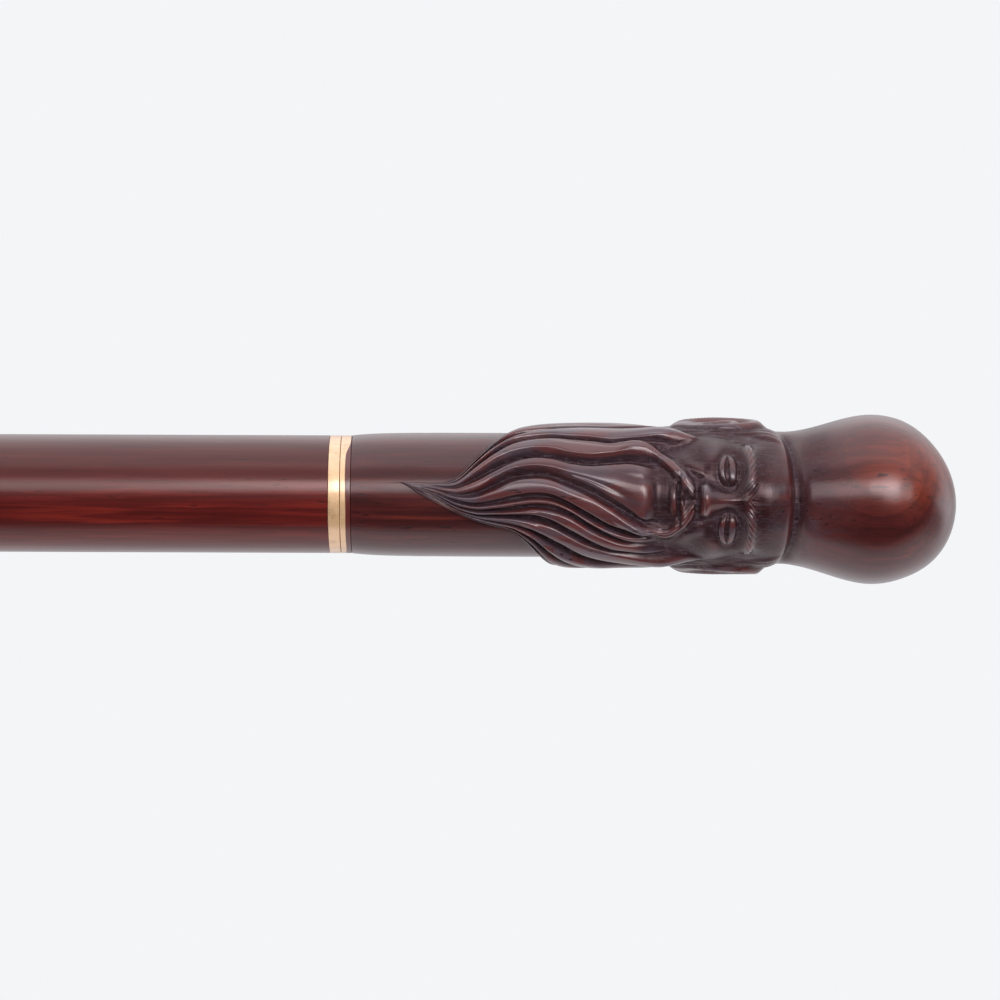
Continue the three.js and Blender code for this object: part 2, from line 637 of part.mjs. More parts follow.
// A ferrule pin with its round head out along +X, its head's underside at the ferrule.
function ferrulePin(side) {
  const headSteps = 4;
  const dome = Array.from({ length: headSteps }, (_, i) => {
    const turn = (Math.PI / 2) * (i / headSteps);
    return [pinHeadRadius * Math.cos(turn), seamGap + pinHeadHeight * Math.sin(turn)];
  });
  const pin = turned([[0, -pinLength], [pinRadius, pinRadius - pinLength], [pinRadius, seamGap], ...dome,
    [0, seamGap + pinHeadHeight]], pinSides);
  pin.rotateY((side * Math.PI) / 2);
  return pin.translate(side * shaftFootRadius, 0, pinLevel);
}

// The two holes for the pins, drilled through the ferrule into the wood.
function pinHoles() {
  const drill = (side) => {
    const hole = turned([[0, -pinLength - glueGap], [pinRadius + glueGap, -pinLength - glueGap],
      [pinRadius + glueGap, pinLength], [0, pinLength]], pinSides);
    hole.rotateY((side * Math.PI) / 2);
    return solidOf(hole.translate(side * shaftFootRadius, 0, pinLevel));
  };
  return drill(1).add(drill(-1));
}

function rubberTip() {
  const boreRadius = shaftFootRadius + glueGap;
  const tread = [];
  const landWidth = (tipBaseRadius - treadCount * treadWidth) / (treadCount + 1);
  for (let i = 0; i < treadCount; i++) {
    const inner = landWidth * (i + 1) + treadWidth * i;
    tread.push([inner, 0], [inner, treadDepth], [inner + treadWidth, treadDepth], [inner + treadWidth, 0]);
  }
  const flareSteps = 6;
  const flare = Array.from({ length: flareSteps + 1 }, (_, i) => {
    const up = i / flareSteps;
    const z = tipRimHeight + (tipFlareHeight - tipRimHeight) * up;
    return [tipWaistRadius + (tipBaseRadius - tipWaistRadius) * (1 - up) ** 2, z];
  });
  const beadBase = tipHeight - tipBeadHeight;
  const bead = [[tipWaistRadius, beadBase], [tipTopRadius, beadBase + tipEdge],
    [tipTopRadius, tipHeight - tipEdge], [tipTopRadius - tipEdge, tipHeight]];
  return turned([[0, 0], ...tread, [tipBaseRadius - tipEdge, 0], [tipBaseRadius, tipEdge], ...flare, ...bead,
    [boreRadius, tipHeight], [boreRadius, tipFloor], [0, tipFloor]]);
}

function tipWasher() {
  return turned([[0, tipFloor + seamGap * half], [washerRadius, tipFloor + seamGap * half],
    [washerRadius, tipFloor + washerThickness], [0, tipFloor + washerThickness]]);
}

// The cane

const cane = new THREE.Group();
cane.add(piece('shaft', shaft(), darkRedwood));
cane.add(piece('foot_ferrule', footFerrule(), brass));
cane.add(piece('ferrule_pin_left', ferrulePin(-1), brass));
cane.add(piece('ferrule_pin_right', ferrulePin(1), brass));
cane.add(piece('tip_washer', tipWasher(), steel));
cane.add(piece('rubber_tip', rubberTip(), blackRubber));

// The shaft's half of the joint is drawn from its meeting face down.
const shaftJoint = new THREE.Group();
shaftJoint.position.z = shaftCollarTop;
const shaftCollar = piece('shaft_collar', collar(shaftCollarWidth), brass);
shaftCollar.rotation.x = Math.PI;
shaftJoint.add(shaftCollar, piece('shaft_socket', shaftSocket(), brass));

// The handle's half goes up from its meeting face.
const handleJoint = new THREE.Group();
handleJoint.position.z = jointFace;
handleJoint.add(piece('handle_collar', collar(handleCollarWidth), brass));
handleJoint.add(piece('handle_anchor', handleAnchor(), brass));
handleJoint.add(piece('joint_stud', jointStud(), steel));

const handle = piece('carved_handle', carvedHandle(), carvedRedwood);
handle.position.z = handleBase;
cane.add(shaftJoint, handleJoint, handle);

export default cane;
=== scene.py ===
"""A walking cane in dark red, lacquered hardwood, with a bearded sage's head carved under its knob.

The carved handle, the shaft, the brass collars, the screw joint and the foot are surfaces worked out
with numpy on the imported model's frame. Sizes are in millimetres, as on a carver's drawing, until a
piece is made; in the materials they are in metres.
"""

import math
from functools import partialmethod
from math import radians

import bpy
import numpy as np
from mathutils import Matrix, Vector
from numpy.lib.stride_tricks import sliding_window_view


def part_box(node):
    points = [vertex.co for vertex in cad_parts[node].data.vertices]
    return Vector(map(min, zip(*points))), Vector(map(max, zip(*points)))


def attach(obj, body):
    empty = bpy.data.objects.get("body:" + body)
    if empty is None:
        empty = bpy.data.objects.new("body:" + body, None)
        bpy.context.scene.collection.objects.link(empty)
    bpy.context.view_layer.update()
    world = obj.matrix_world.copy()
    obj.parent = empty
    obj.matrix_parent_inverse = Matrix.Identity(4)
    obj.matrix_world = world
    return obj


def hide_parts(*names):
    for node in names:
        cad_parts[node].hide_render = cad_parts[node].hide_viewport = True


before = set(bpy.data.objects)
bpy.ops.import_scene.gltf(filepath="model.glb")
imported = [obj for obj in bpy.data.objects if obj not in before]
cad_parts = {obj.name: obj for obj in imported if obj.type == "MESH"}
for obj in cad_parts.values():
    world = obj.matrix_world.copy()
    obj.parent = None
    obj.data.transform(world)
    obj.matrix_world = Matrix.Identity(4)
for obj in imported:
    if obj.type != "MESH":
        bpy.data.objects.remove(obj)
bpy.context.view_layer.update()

MM = 0.001


def low_and_high(node):
    """The heights of the underside and the top of a CAD node."""
    low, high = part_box(node)
    return low.z / MM, high.z / MM


def radius_of(node):
    """Half the width of a CAD node across X."""
    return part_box(node)[1].x / MM


# Places along the cane, from the frame
handle_base, cane_top = low_and_high("carved_handle")
handle_length = cane_top - handle_base
knob_radius = radius_of("carved_handle")
shaft_foot, shaft_top = low_and_high("shaft")
shaft_top_radius = radius_of("shaft")
collar_radius = radius_of("shaft_collar")
joint_face = low_and_high("shaft_collar")[1]
handle_face, anchor_top = low_and_high("handle_anchor")
foot_radius = radius_of("foot_ferrule")


# Camera: the photograph's view, in its frame of 1000 by 1000 pixels
PHOTO_SIDE = 1000
SEAM_COLUMN = 353
KNOB_END_COLUMN = 955.5
AXIS_ROW = 494.9
AXIS_TILT = radians(0.22)
VIEW_TURN = radians(-3)
VIEW_DISTANCE = 760
SENSOR = 36

pixel = handle_length / (KNOB_END_COLUMN - SEAM_COLUMN)
middle_height = handle_base + (PHOTO_SIDE / 2 - SEAM_COLUMN) * pixel
axis_rise = (PHOTO_SIDE / 2 - AXIS_ROW) * pixel


def direction(turn, rise=0):
    """The direction at an angle round from the front and an angle up."""
    return Vector((math.sin(turn) * math.cos(rise), -math.cos(turn) * math.cos(rise), math.sin(rise)))


def add(name, data):
    """A new object in the scene."""
    thing = bpy.data.objects.new(name, data)
    bpy.context.scene.collection.objects.link(thing)
    return thing


def stand(name, data, axes, place):
    """The camera or a light at a place, with its X, Y and Z axes along three directions."""
    thing = add(name, data)
    thing.matrix_world = Matrix.Translation(place * MM) @ Matrix(axes).transposed().to_4x4()
    return thing


def make_camera():
    """The cane lies along the picture: its top is to the right, and the camera looks from the front."""
    back = direction(VIEW_TURN)
    across = Vector((0, 0, 1)).cross(back)
    right = Vector((0, 0, math.cos(AXIS_TILT))) - across * math.sin(AXIS_TILT)
    up = back.cross(right)
    target = Vector((0, 0, middle_height)) - up * axis_rise
    data = bpy.data.cameras.new("photo_camera")
    data.sensor_width = SENSOR
    data.lens = SENSOR * VIEW_DISTANCE / (PHOTO_SIDE * pixel)
    data.clip_start = 0.01
    camera = stand("photo_camera", data, (right, up, back), target + back * VIEW_DISTANCE)
    bpy.context.scene.camera = camera


make_camera()


# Shader writing

class Value:
    """A number in a shader. Sums written with it add Math nodes."""

    def __init__(self, shader, socket):
        self.shader = shader
        self.socket = socket

    def math(self, operation, *others, clamp=False):
        """A Math node that starts from this number."""
        settings = {"operation": operation, "use_clamp": clamp}
        return self.shader.value("Math", settings, dict(enumerate((self, *others))))

    __add__ = __radd__ = partialmethod(math, "ADD")
    __mul__ = __rmul__ = partialmethod(math, "MULTIPLY")
    __sub__ = partialmethod(math, "SUBTRACT")
    __truediv__ = partialmethod(math, "DIVIDE")

    def __rsub__(self, other):
        return (self * -1) + other

    def between(self, start, end):
        """0 at start and 1 at end, eased between them. start may be the larger."""
        inputs = {"Value": self, "From Min": min(start, end), "From Max": max(start, end)}
        eased = self.shader.value("MapRange", {"interpolation_type": "SMOOTHSTEP"}, inputs)
        return eased if start < end else 1 - eased


class Shader:
    """The nodes of one material or of the world. A colour is written as red, green and blue."""

    def __init__(self, owner):
        owner.use_nodes = True
        self.owner = owner
        self.tree = owner.node_tree
        self.tree.nodes.clear()

    def node(self, kind, settings=None, inputs=None):
        """A node of a kind: its settings first, and then its sockets' values or links."""
        node = self.tree.nodes.new("ShaderNode" + kind)
        for name, value in (settings or {}).items():
            setattr(node, name, value)
        for name, value in (inputs or {}).items():
            socket = node.inputs[name]
            if isinstance(value, Value):
                self.tree.links.new(value.socket, socket)
            elif isinstance(value, bpy.types.NodeSocket):
                self.tree.links.new(value, socket)
            elif socket.type == "RGBA":
                socket.default_value = (*value, 1)
            else:
                socket.default_value = value
        return node

    def value(self, kind, settings=None, inputs=None, output=0):
        """A node's output as a number to write sums with."""
        return Value(self, self.node(kind, settings, inputs).outputs[output])

    def mix(self, factor, first, second):
        """The first colour where factor is 0 and the second where it is 1."""
        settings = {"data_type": "RGBA"}
        return self.node("Mix", settings, {0: factor, 6: first, 7: second}).outputs[2]

    def layered(self, colour, *layers):
        """A colour under layers, each given as its share and its own colour."""
        for share, layer in layers:
            colour = self.mix(share, colour, layer)
        return colour

    def axes(self, kind="Object"):
        """X, Y and Z of the texture coordinates."""
        where = self.node("TexCoord").outputs[kind]
        parts = self.node("SeparateXYZ", None, {"Vector": where})
        return [Value(self, output) for output in parts.outputs]

    def noise(self, scale, detail=2, along=1, across=1, shift=(0, 0, 0), roughness=0.5, distortion=0):
        """Noise on Object coordinates that are scaled along the cane and across it, and moved by shift
        first. A scale of 0.1 draws it out ten times."""
        where = self.node("TexCoord").outputs["Object"]
        inputs = {"Vector": where, "Location": shift, "Scale": (across, across, along)}
        where = self.node("Mapping", None, inputs).outputs[0]
        inputs = {"Vector": where, "Scale": scale, "Detail": detail, "Roughness": roughness,
                  "Distortion": distortion}
        return self.value("TexNoise", None, inputs)

    def attribute(self, name):
        """A mark that comes with the mesh."""
        return self.value("Attribute", {"attribute_name": name}, output="Fac")

    def bump(self, height, distance, strength):
        """A normal that follows a height."""
        inputs = {"Height": height, "Distance": distance, "Strength": strength}
        return self.node("Bump", None, inputs).outputs[0]

    def surface(self, **inputs):
        """The shader's end: a Principled surface with these sockets. Gives the material."""
        named = {name.replace("_", " "): value for name, value in inputs.items()}
        principled = self.node("BsdfPrincipled", None, named)
        self.node("OutputMaterial", None, {"Surface": principled.outputs[0]})
        return self.owner


# Studio. Each wall of the light tent: where it begins and is full, as degrees round from the front, and
# its light
LOWER_WALL = 57, 79, 0.92
UPPER_WALL = -49, -61, 1.45
SHELF = -30, -38, 0.5
BACK_WALL = 130, 175, 0.6
# What dims the upper wall, dims all but the back and lights the back towards the top: how far a
# direction rises where it begins and is full, and its strength
UPPER_DIM = 0.2, 0.9, 0.35
END_SHADE = 0.74, 0.97, 0.6
END_LIGHT = 0.6, 0.92, 1.0
ROOM_LIGHT = 0.03
PLAIN_LIGHT = 0.55

BACKGROUND = (0.905, 0.913, 0.931)
TENT_WHITE = (1.0, 0.965, 1.0)
LAMP_WHITE = (1.0, 0.97, 0.98)
FLOOR_SIDE = 3.0
FLOOR_TONES = (0.9, 0.905, 0.92), (0.92, 0.925, 0.94)

# Each soft box: degrees round from the front, degrees up, distance, width, length and brightness
SOFT_BOXES = {
    "front_light": (-18.5, 24, 1300, 520, 1500, 2.4),
    "bright_front_light": (-19.5, 16, 1250, 330, 900, 3.4),
    "upper_front_light": (-19, 26, 1200, 760, 420, 1.7),
    "low_front_light": (-18.5, -27, 1300, 480, 960, 2.9),
    "end_light": (-15, 52, 1500, 1300, 900, 2.3),
}


def make_world():
    """A white background, and round the cane the white walls of a light tent that is open at the
    camera: a lower and an upper wall, a dimmer shelf in front of the upper one, and a back."""
    world = bpy.data.worlds.new("studio")
    bpy.context.scene.world = world
    shader = Shader(world)
    x, y, z = shader.axes("Generated")
    round_angle = x.math("ARCTAN2", y * -1) * math.degrees(1)
    behind = round_angle.math("ABSOLUTE").between(*BACK_WALL[:2])

    def eased(value, table):
        """A strength that eases in between two values."""
        start, full, strength = table
        return value.between(start, full) * strength

    def wall(table):
        """A wall, which turns into the back wall behind the cane."""
        start, full, light = table
        return round_angle.between(start, full) * (light + behind * (BACK_WALL[2] - light))

    shelf = eased(round_angle, SHELF) * (1 - round_angle.between(*UPPER_WALL[:2]))
    walls = wall(LOWER_WALL) + wall(UPPER_WALL) * (1 - eased(z, UPPER_DIM)) + shelf
    walls = walls * (1 - eased(z, END_SHADE) * (1 - behind)) + behind * eased(z, END_LIGHT) + ROOM_LIGHT
    rays = shader.node("LightPath")
    seen, glossy, clear = (Value(shader, rays.outputs[f"Is {kind} Ray"])
                           for kind in ("Camera", "Glossy", "Transmission"))
    direct = seen.math("MAXIMUM", clear)
    plain = (1 - direct) * (1 - glossy) * PLAIN_LIGHT
    strength = direct + glossy * (1 - direct) * walls + plain
    colour = shader.mix(direct, TENT_WHITE, BACKGROUND)
    background = shader.node("Background", None, {"Color": colour, "Strength": strength})
    shader.node("OutputWorld", None, {"Surface": background.outputs[0]})


def make_lights():
    """Flat lights of even brightness, which face the middle of the photograph's part of the cane."""
    for name, (turn, rise, distance, width, length, brightness) in SOFT_BOXES.items():
        data = bpy.data.lights.new(name, "AREA")
        data.shape = "RECTANGLE"
        data.size = width * MM
        data.size_y = length * MM
        data.color = LAMP_WHITE
        data.energy = brightness * math.pi * data.size * data.size_y
        back = direction(radians(turn), radians(rise))
        across = Vector((0, 0, 1)).cross(back).normalized()
        place = Vector((0, 0, middle_height)) + back * distance
        light = stand(name, data, (across, back.cross(across), back), place)
        light.visible_camera = False
        light.visible_glossy = name != "end_light"


def make_floor():
    """A plain pale floor, which shows as white and takes a soft shadow."""
    shader = Shader(bpy.data.materials.new("pale_floor"))
    colour = shader.mix(shader.noise(40), *FLOOR_TONES)
    material = shader.surface(Base_Color=colour, Roughness=0.9, Specular_IOR_Level=0.0)
    half = FLOOR_SIDE / 2
    mesh = bpy.data.meshes.new("floor")
    mesh.from_pydata([(-half, -half, 0), (half, -half, 0), (half, half, 0), (-half, half, 0)], [],
                     [(0, 1, 2, 3)])
    mesh.materials.append(material)
    floor = add("floor", mesh)
    floor.visible_glossy = False


make_world()
make_lights()
make_floor()
bpy.context.scene.view_settings.view_transform = "Standard"


# Materials. Each grain has a deep, a bright and a warm colour; each pair holds the two ends of a tone
SHAFT_GRAIN = (0.042, 0.0037, 0.0033), (0.096, 0.0075, 0.0058), (0.170, 0.0140, 0.0068)
HANDLE_GRAIN = (0.028, 0.0046, 0.0045), (0.061, 0.0092, 0.0082), (0.130, 0.0205, 0.0100)
BROWN_SIDE = (0.030, 0.0062, 0.0060)
SHAFT_PORE = (0.012, 0.002, 0.002)
HANDLE_PORE = (0.010, 0.002, 0.002)
# The warm glow painted on one side of the knob, beside its highlight
KNOB_PAINTED_GLOW = (0.150, 0.0235, 0.0095)
REDDISH_LOCKS = (0.032, 0.0072, 0.0068), (0.072, 0.0165, 0.0150)
GREYISH_LOCKS = (0.028, 0.0215, 0.0285), (0.049, 0.0365, 0.0485)
# Painted highlights on the crests of the locks and on the face's ridges, reddish or greyish
PAINTED_CREST_HIGHLIGHTS = (0.100, 0.0300, 0.0310), (0.088, 0.0550, 0.0680)
SMEAR = (0.0165, 0.0140, 0.0190)
# Dark stain and painted shade in the hollows, and painted shade over the face and on the knob's shoulder
# by the crease
PAINTED_SHADE_AND_STAIN = (0.0150, 0.0050, 0.0060)
HOLLOW = (0.0340, 0.0200, 0.0255)
SCRATCH = (0.084, 0.0660, 0.0780)
BRASS_TONES = (0.76, 0.48, 0.25), (0.83, 0.55, 0.31)
TARNISH = (0.52, 0.29, 0.14)
RUN_STAIN = (0.085, 0.0130, 0.0110)
STEEL_TONES = (0.42, 0.42, 0.43), (0.58, 0.58, 0.59)
RUBBER_TONES = (0.012, 0.012, 0.013), (0.045, 0.044, 0.043)

# In metres, and the run stain's edge by its height on the cane
PITH_X, PITH_Y = 0.021, 0.034
LAYER_WIDTH = 0.0021
GRAIN_DEPTH = 0.00003
RUN_STAIN_LOW, RUN_STAIN_HIGH = 0.7708, 0.7716
STREAK_SHIFT = (-0.0076, 0, 0)


def wood_colour(shader, deep, bright, warm, shift=(0, 0, 0)):
    """Growth layers round a pith outside the cane, long fibres in them, and a few warm streaks, moved
    by shift. Gives the colour, the fibres, the streaks and the layers' late wood."""
    x, y, z = shader.axes()
    out_x, out_y = x - PITH_X, y - PITH_Y
    waver = shader.noise(55, 2, 0.12)
    reach = (out_x * out_x + out_y * out_y).math("SQRT") + z * 0.012 + waver * 0.004
    layer = (reach / LAYER_WIDTH).math("FRACT")
    late_wood = layer.between(0.35, 0.95) * layer.between(1.0, 0.95)
    fibres = shader.noise(1900, 3, 0.022, roughness=0.6)
    streaks = shader.noise(560, 3, 0.05, 1, shift, 0.6, 0.3)
    patches = shader.noise(60, 2, 0.25, 1, shift)
    light = streaks.between(0.36, 0.66) * 0.7 + fibres.between(0.3, 0.7) * 0.5
    glow = streaks.between(0.50, 0.70) * patches.between(0.40, 0.62)
    colour = shader.layered(deep, (light * (1 - late_wood * 0.55), bright), (glow * 0.7, warm))
    return colour, fibres, streaks, late_wood


def pores(shader, share):
    """Short dark dashes along the grain, thinly scattered. share is how many there are."""
    dashes = shader.noise(1500, 1, 0.14, roughness=0.4)
    thin = shader.noise(130, 1, 0.5)
    rare = 0.75 - 0.1 * share
    return dashes.between(rare, rare + 0.05) * thin.between(0.42, 0.56)


def shaft_wood():
    """Red wood under lacquer, browner down one side of the shaft."""
    shader = Shader(bpy.data.materials.new("lacquered_redwood"))
    colour, fibres, streaks, _ = wood_colour(shader, *SHAFT_GRAIN, STREAK_SHIFT)
    x = shader.axes()[0]
    brown_side = (x + (streaks - 0.5) * 0.002).between(-0.0005, -0.0042)
    pore = pores(shader, 0.5)
    colour = shader.layered(colour, (brown_side * 0.6, BROWN_SIDE), (pore * 0.8, SHAFT_PORE))
    relief = fibres + streaks * 3 - pore * 1.5
    return shader.surface(
        Base_Color=colour, Roughness=0.26 + fibres * 0.1, Specular_IOR_Level=0.4,
        Specular_Tint=(1.0, 0.5, 0.46), Normal=shader.bump(relief, GRAIN_DEPTH, 0.4),
        Coat_Weight=0.5 + streaks * 0.36, Coat_Roughness=0.22, Coat_IOR=1.5)


def carved_wood():
    """The same wood, with a warm glow painted beside the highlight on one side of the knob. Where it is
    cut, its locks are reddish or greyish, with bare and smeared patches and a painted highlight on the
    crests of the locks and the face's ridges, and greyish stain and fine tool scratches are left in the
    hollows. The marks cut_wood, ridge, stain and hollow come with the mesh; stain is dark stain in the
    hollows, with painted shade there, over the face and by the crease."""
    shader = Shader(bpy.data.materials.new("carved_redwood"))
    colour, fibres, streaks, late_wood = wood_colour(shader, *HANDLE_GRAIN)
    x, _, z = shader.axes()
    # A painted warm glow beside the highlight on one side of the knob: placed by height and by side, and
    # broken up by the grain
    drift = (shader.noise(70) - 0.5) * 0.012
    glow = (z + drift).between(0.868, 0.886) * (x + drift).between(0.004, -0.005)
    glow = glow * (0.35 + (x + drift).between(-0.016, -0.008) * 0.65)
    glow = glow * (0.5 + streaks.between(0.3, 0.6) * 0.5) * (1 - late_wood * 0.3)
    rubbed = shader.noise(330, 3, 0.2).between(0.42, 0.58)
    reddish = shader.mix(streaks.between(0.36, 0.64), *REDDISH_LOCKS)
    greyish = shader.mix(fibres.between(0.34, 0.66), *GREYISH_LOCKS)
    bare = shader.noise(150, 2, 0.3, 1, (0.013, 0.004, 0.002)).between(0.50, 0.64)
    smear = shader.noise(190, 4, 0.35, 1, (0.004, 0.02, 0.011), 0.6).between(0.52, 0.66)
    cut_wood, ridge, hollow = (shader.attribute(name) for name in ("cut_wood", "ridge", "hollow"))
    blotch = shader.noise(260, 4, roughness=0.6)
    # The stain mark: dark stain and painted shade in the hollows, and painted shade over the whole face
    # and by the crease
    stain = (shader.attribute("stain") * (0.6 + blotch * 0.7)).math("MINIMUM", 1.0)
    along = shader.noise(2600, 2, 0.09, roughness=0.7).between(0.50, 0.66)
    across = shader.noise(3000, 2, 1, 0.12, roughness=0.7).between(0.56, 0.70)
    scratch = along + across * blotch.between(0.4, 0.6)
    scratched = scratch.math("MULTIPLY", stain * (hollow * 0.6 + 0.4), clamp=True)
    pore = pores(shader, 0.9)
    # Layered on the wood: the painted warm glow on the knob, the locks' own tones and smears, a painted
    # highlight on the crests, the stain mark's dark stain and painted shade, greyish stain in the
    # hollows, tool scratches and pores
    colour = shader.layered(
        colour, (glow * 0.9, KNOB_PAINTED_GLOW),
        (cut_wood * (0.86 - bare * 0.46), shader.mix(rubbed, reddish, greyish)),
        (cut_wood * smear * 0.75, SMEAR), (ridge * 0.5, shader.mix(rubbed, *PAINTED_CREST_HIGHLIGHTS)),
        (stain * 0.9, PAINTED_SHADE_AND_STAIN), (hollow * 0.7, HOLLOW), (scratched * 0.65, SCRATCH),
        (pore * 0.8, HANDLE_PORE))
    relief = fibres + streaks * 2 - pore * 1.5 + scratched * 1.2
    roughness = 0.28 + cut_wood * 0.08 + hollow * 0.12 - stain * 0.12
    coat = (0.72 + cut_wood * 0.28 - hollow * 0.3) * (1 - stain * 0.95)
    return shader.surface(
        Base_Color=colour, Roughness=roughness, Specular_IOR_Level=0.3,
        Specular_Tint=(1.0, 0.62, 0.66), Normal=shader.bump(relief, GRAIN_DEPTH, 0.4),
        Coat_Weight=coat, Coat_Roughness=0.21, Coat_IOR=1.62)


def polished_brass(name, stained_edge=False):
    """Lacquered brass, brushed dull and a little tarnished. On one collar, wood stain has run over its
    edge, further down on one side."""
    shader = Shader(bpy.data.materials.new(name))
    tone = shader.noise(380, 3, 0.6)
    marks = shader.noise(9000, 2, 1, 0.02)
    tarnish = shader.noise(700, 4, 0.7, roughness=0.6).between(0.50, 0.72)
    colour = shader.mix(tone.between(0.35, 0.7), *BRASS_TONES)
    colour = shader.mix(tarnish * 0.5, colour, TARNISH)
    metallic, roughness, coat = 0.5, 0.38 + marks * 0.12, 1.0
    if stained_edge:
        x, _, z = shader.axes()
        wander = (shader.noise(95, 2, 0.2) - 0.5) * 0.0006
        rise = x.between(-0.0085, -0.0115) * (RUN_STAIN_HIGH - RUN_STAIN_LOW)
        edge = RUN_STAIN_LOW + wander + rise
        stained = ((z - edge) / 0.00012).math("MULTIPLY", 1.0, clamp=True)
        colour = shader.mix(stained, colour, RUN_STAIN)
        metallic = (1 - stained) * metallic
        roughness = roughness - stained * 0.1
        coat = 1 - stained * 0.65
    return shader.surface(
        Base_Color=colour, Metallic=metallic, Roughness=roughness,
        Normal=shader.bump(marks, 0.000004, 0.4), Coat_Weight=coat, Coat_Roughness=0.2, Coat_IOR=2.1)


def turned_steel():
    """Steel with fine turning marks round it."""
    shader = Shader(bpy.data.materials.new("turned_steel"))
    marks = shader.noise(6000, 3, 1, 0.03)
    colour = shader.mix(shader.noise(300, 3), *STEEL_TONES)
    return shader.surface(Base_Color=colour, Metallic=1.0, Roughness=0.28 + marks * 0.16,
                          Normal=shader.bump(marks, 0.000008, 0.5))


def moulded_rubber():
    """Matt black rubber, a little grey with dust in patches and worn at the tread."""
    shader = Shader(bpy.data.materials.new("moulded_rubber"))
    z = shader.axes()[2]
    grain = shader.noise(2600, 3, roughness=0.6)
    dust = shader.noise(120, 4, roughness=0.6)
    wear = z.between(0.006, 0.0) * dust.between(0.3, 0.7)
    colour = shader.mix(dust.between(0.4, 0.8) * 0.5 + wear * 0.5, *RUBBER_TONES)
    return shader.surface(Base_Color=colour, Roughness=0.6 + dust * 0.2, Specular_IOR_Level=0.35,
                          Normal=shader.bump(grain, 0.00002, 0.5))


SHAFT_WOOD = shaft_wood()
CARVED_WOOD = carved_wood()
BRASS = polished_brass("polished_brass")
STAINED_BRASS = polished_brass("stain_run_brass", True)
STEEL = turned_steel()
RUBBER = moulded_rubber()


# Shapes

def smooth(start, end, x):
    """0 at start and 1 at end, eased between them as 3 s^2 - 2 s^3. start may be the larger."""
    share = np.clip((x - start) / (end - start), 0, 1)
    return share * share * (3 - 2 * share)


def bell(*parts):
    """e to the power of minus the sum of the squares: 1 in the middle, fading out."""
    return np.exp(-sum(part * part for part in parts))


def round_points(radius, height, angle):
    """Points of a round surface: x = r sin a, y = -r cos a, so that angle 0 is the front."""
    return np.stack([radius * np.sin(angle), -radius * np.cos(angle), height + 0 * angle], axis=-1)


def filleted(corners, steps=6):
    """An outline of [radius, height] points from corners of (radius, height, fillet radius). Each fillet
    is an arc that touches both sides of its corner."""
    points = np.array([corner[:2] for corner in corners], float)
    outline = []
    for i, (_, _, fillet) in enumerate(corners):
        here = points[i]
        if fillet == 0 or i in (0, len(corners) - 1):
            outline.append(here)
            continue
        before, after = points[i - 1] - here, points[i + 1] - here
        before, after = before / np.linalg.norm(before), after / np.linalg.norm(after)
        if before @ after < -0.9999:
            continue
        half_turn = math.acos(np.clip(before @ after, -1, 1)) / 2
        centre = here + (before + after) / np.linalg.norm(before + after) * fillet / math.sin(half_turn)
        start = here + before * fillet / math.tan(half_turn) - centre
        end = here + after * fillet / math.tan(half_turn) - centre
        sweep = math.pi - 2 * half_turn
        for share in np.linspace(0, 1, steps + 1):
            arc = start * math.sin((1 - share) * sweep) + end * math.sin(share * sweep)
            outline.append(centre + arc / math.sin(sweep))
    return np.array(outline)


def make_piece(name, points, material, node, body, sharp_angle=radians(35), marks=None):
    """A piece that stands for a CAD node: a closed mesh from a grid of points, in rows of columns that
    go round. A first or last row on the axis is drawn as one pole; otherwise the last row must repeat
    the first. marks are values for each point."""
    rows, columns = points.shape[:2]
    index = np.arange(rows * columns).reshape(rows, columns)
    on_axis = np.ptp(points, axis=1).max(axis=-1) < 1e-6
    index[on_axis] = index[on_axis][:, :1]
    if not on_axis[0]:
        index[-1] = index[0]
    following = np.roll(index, -1, axis=1)
    quads = np.stack([index[:-1], following[:-1], following[1:], index[1:]], axis=-1).reshape(-1, 4)
    low_pole = quads[:, 0] == quads[:, 1]
    high_pole = quads[:, 2] == quads[:, 3]
    faces = [quads[~low_pole & ~high_pole], quads[low_pole][:, [0, 2, 3]], quads[high_pole][:, :3]]
    used = np.unique(np.concatenate([part.ravel() for part in faces]))
    renumber = np.zeros(rows * columns, int)
    renumber[used] = np.arange(len(used))
    mesh = bpy.data.meshes.new(name)
    flat = points.reshape(-1, 3)[used] * MM
    mesh.from_pydata(flat.tolist(), [], [face for part in faces for face in renumber[part].tolist()])
    for mark, values in (marks or {}).items():
        layer = mesh.attributes.new(mark, "FLOAT", "POINT")
        layer.data.foreach_set("value", values.ravel()[used].astype(np.float32))
    mesh.materials.append(material)
    mesh.polygons.foreach_set("use_smooth", [True] * len(mesh.polygons))
    mesh.set_sharp_from_angle(angle=sharp_angle)
    mesh.update()
    piece = add(name, mesh)
    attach(piece, body)
    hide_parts(node)


def turned(name, outline, material, node, body, columns=128, level=0, mouth=None):
    """A round piece: its outline carried once round the axis and raised to a level. With a mouth, the
    outline's third numbers are 1 where thread_share stands on the radius and 0 elsewhere."""
    outline = np.array(outline, float)
    angle = np.linspace(0, 2 * np.pi, columns, endpoint=False)[None, :]
    radius, height = outline[:, :1], outline[:, 1:2]
    if mouth is not None:
        radius = radius + outline[:, 2:] * thread_depth * thread_share(angle, height, mouth)
    make_piece(name, round_points(radius, height + level, angle), material, node, body)


# Carved handle. The sizes are those of the frame's handle, and heights run up from its base.
head_radius = 14.1
stem_radius = 13.15
stem_end_radius = 12.55
stem_ease = 5
head_ease = 7
knob_drop = 19
crease_drop = 16.8
face_length = 31.5
beard_length = 51.5
beard_thickness = 2.5
beard_edge = 2.2
cheek_fade = 6
lock_depth = 1.65

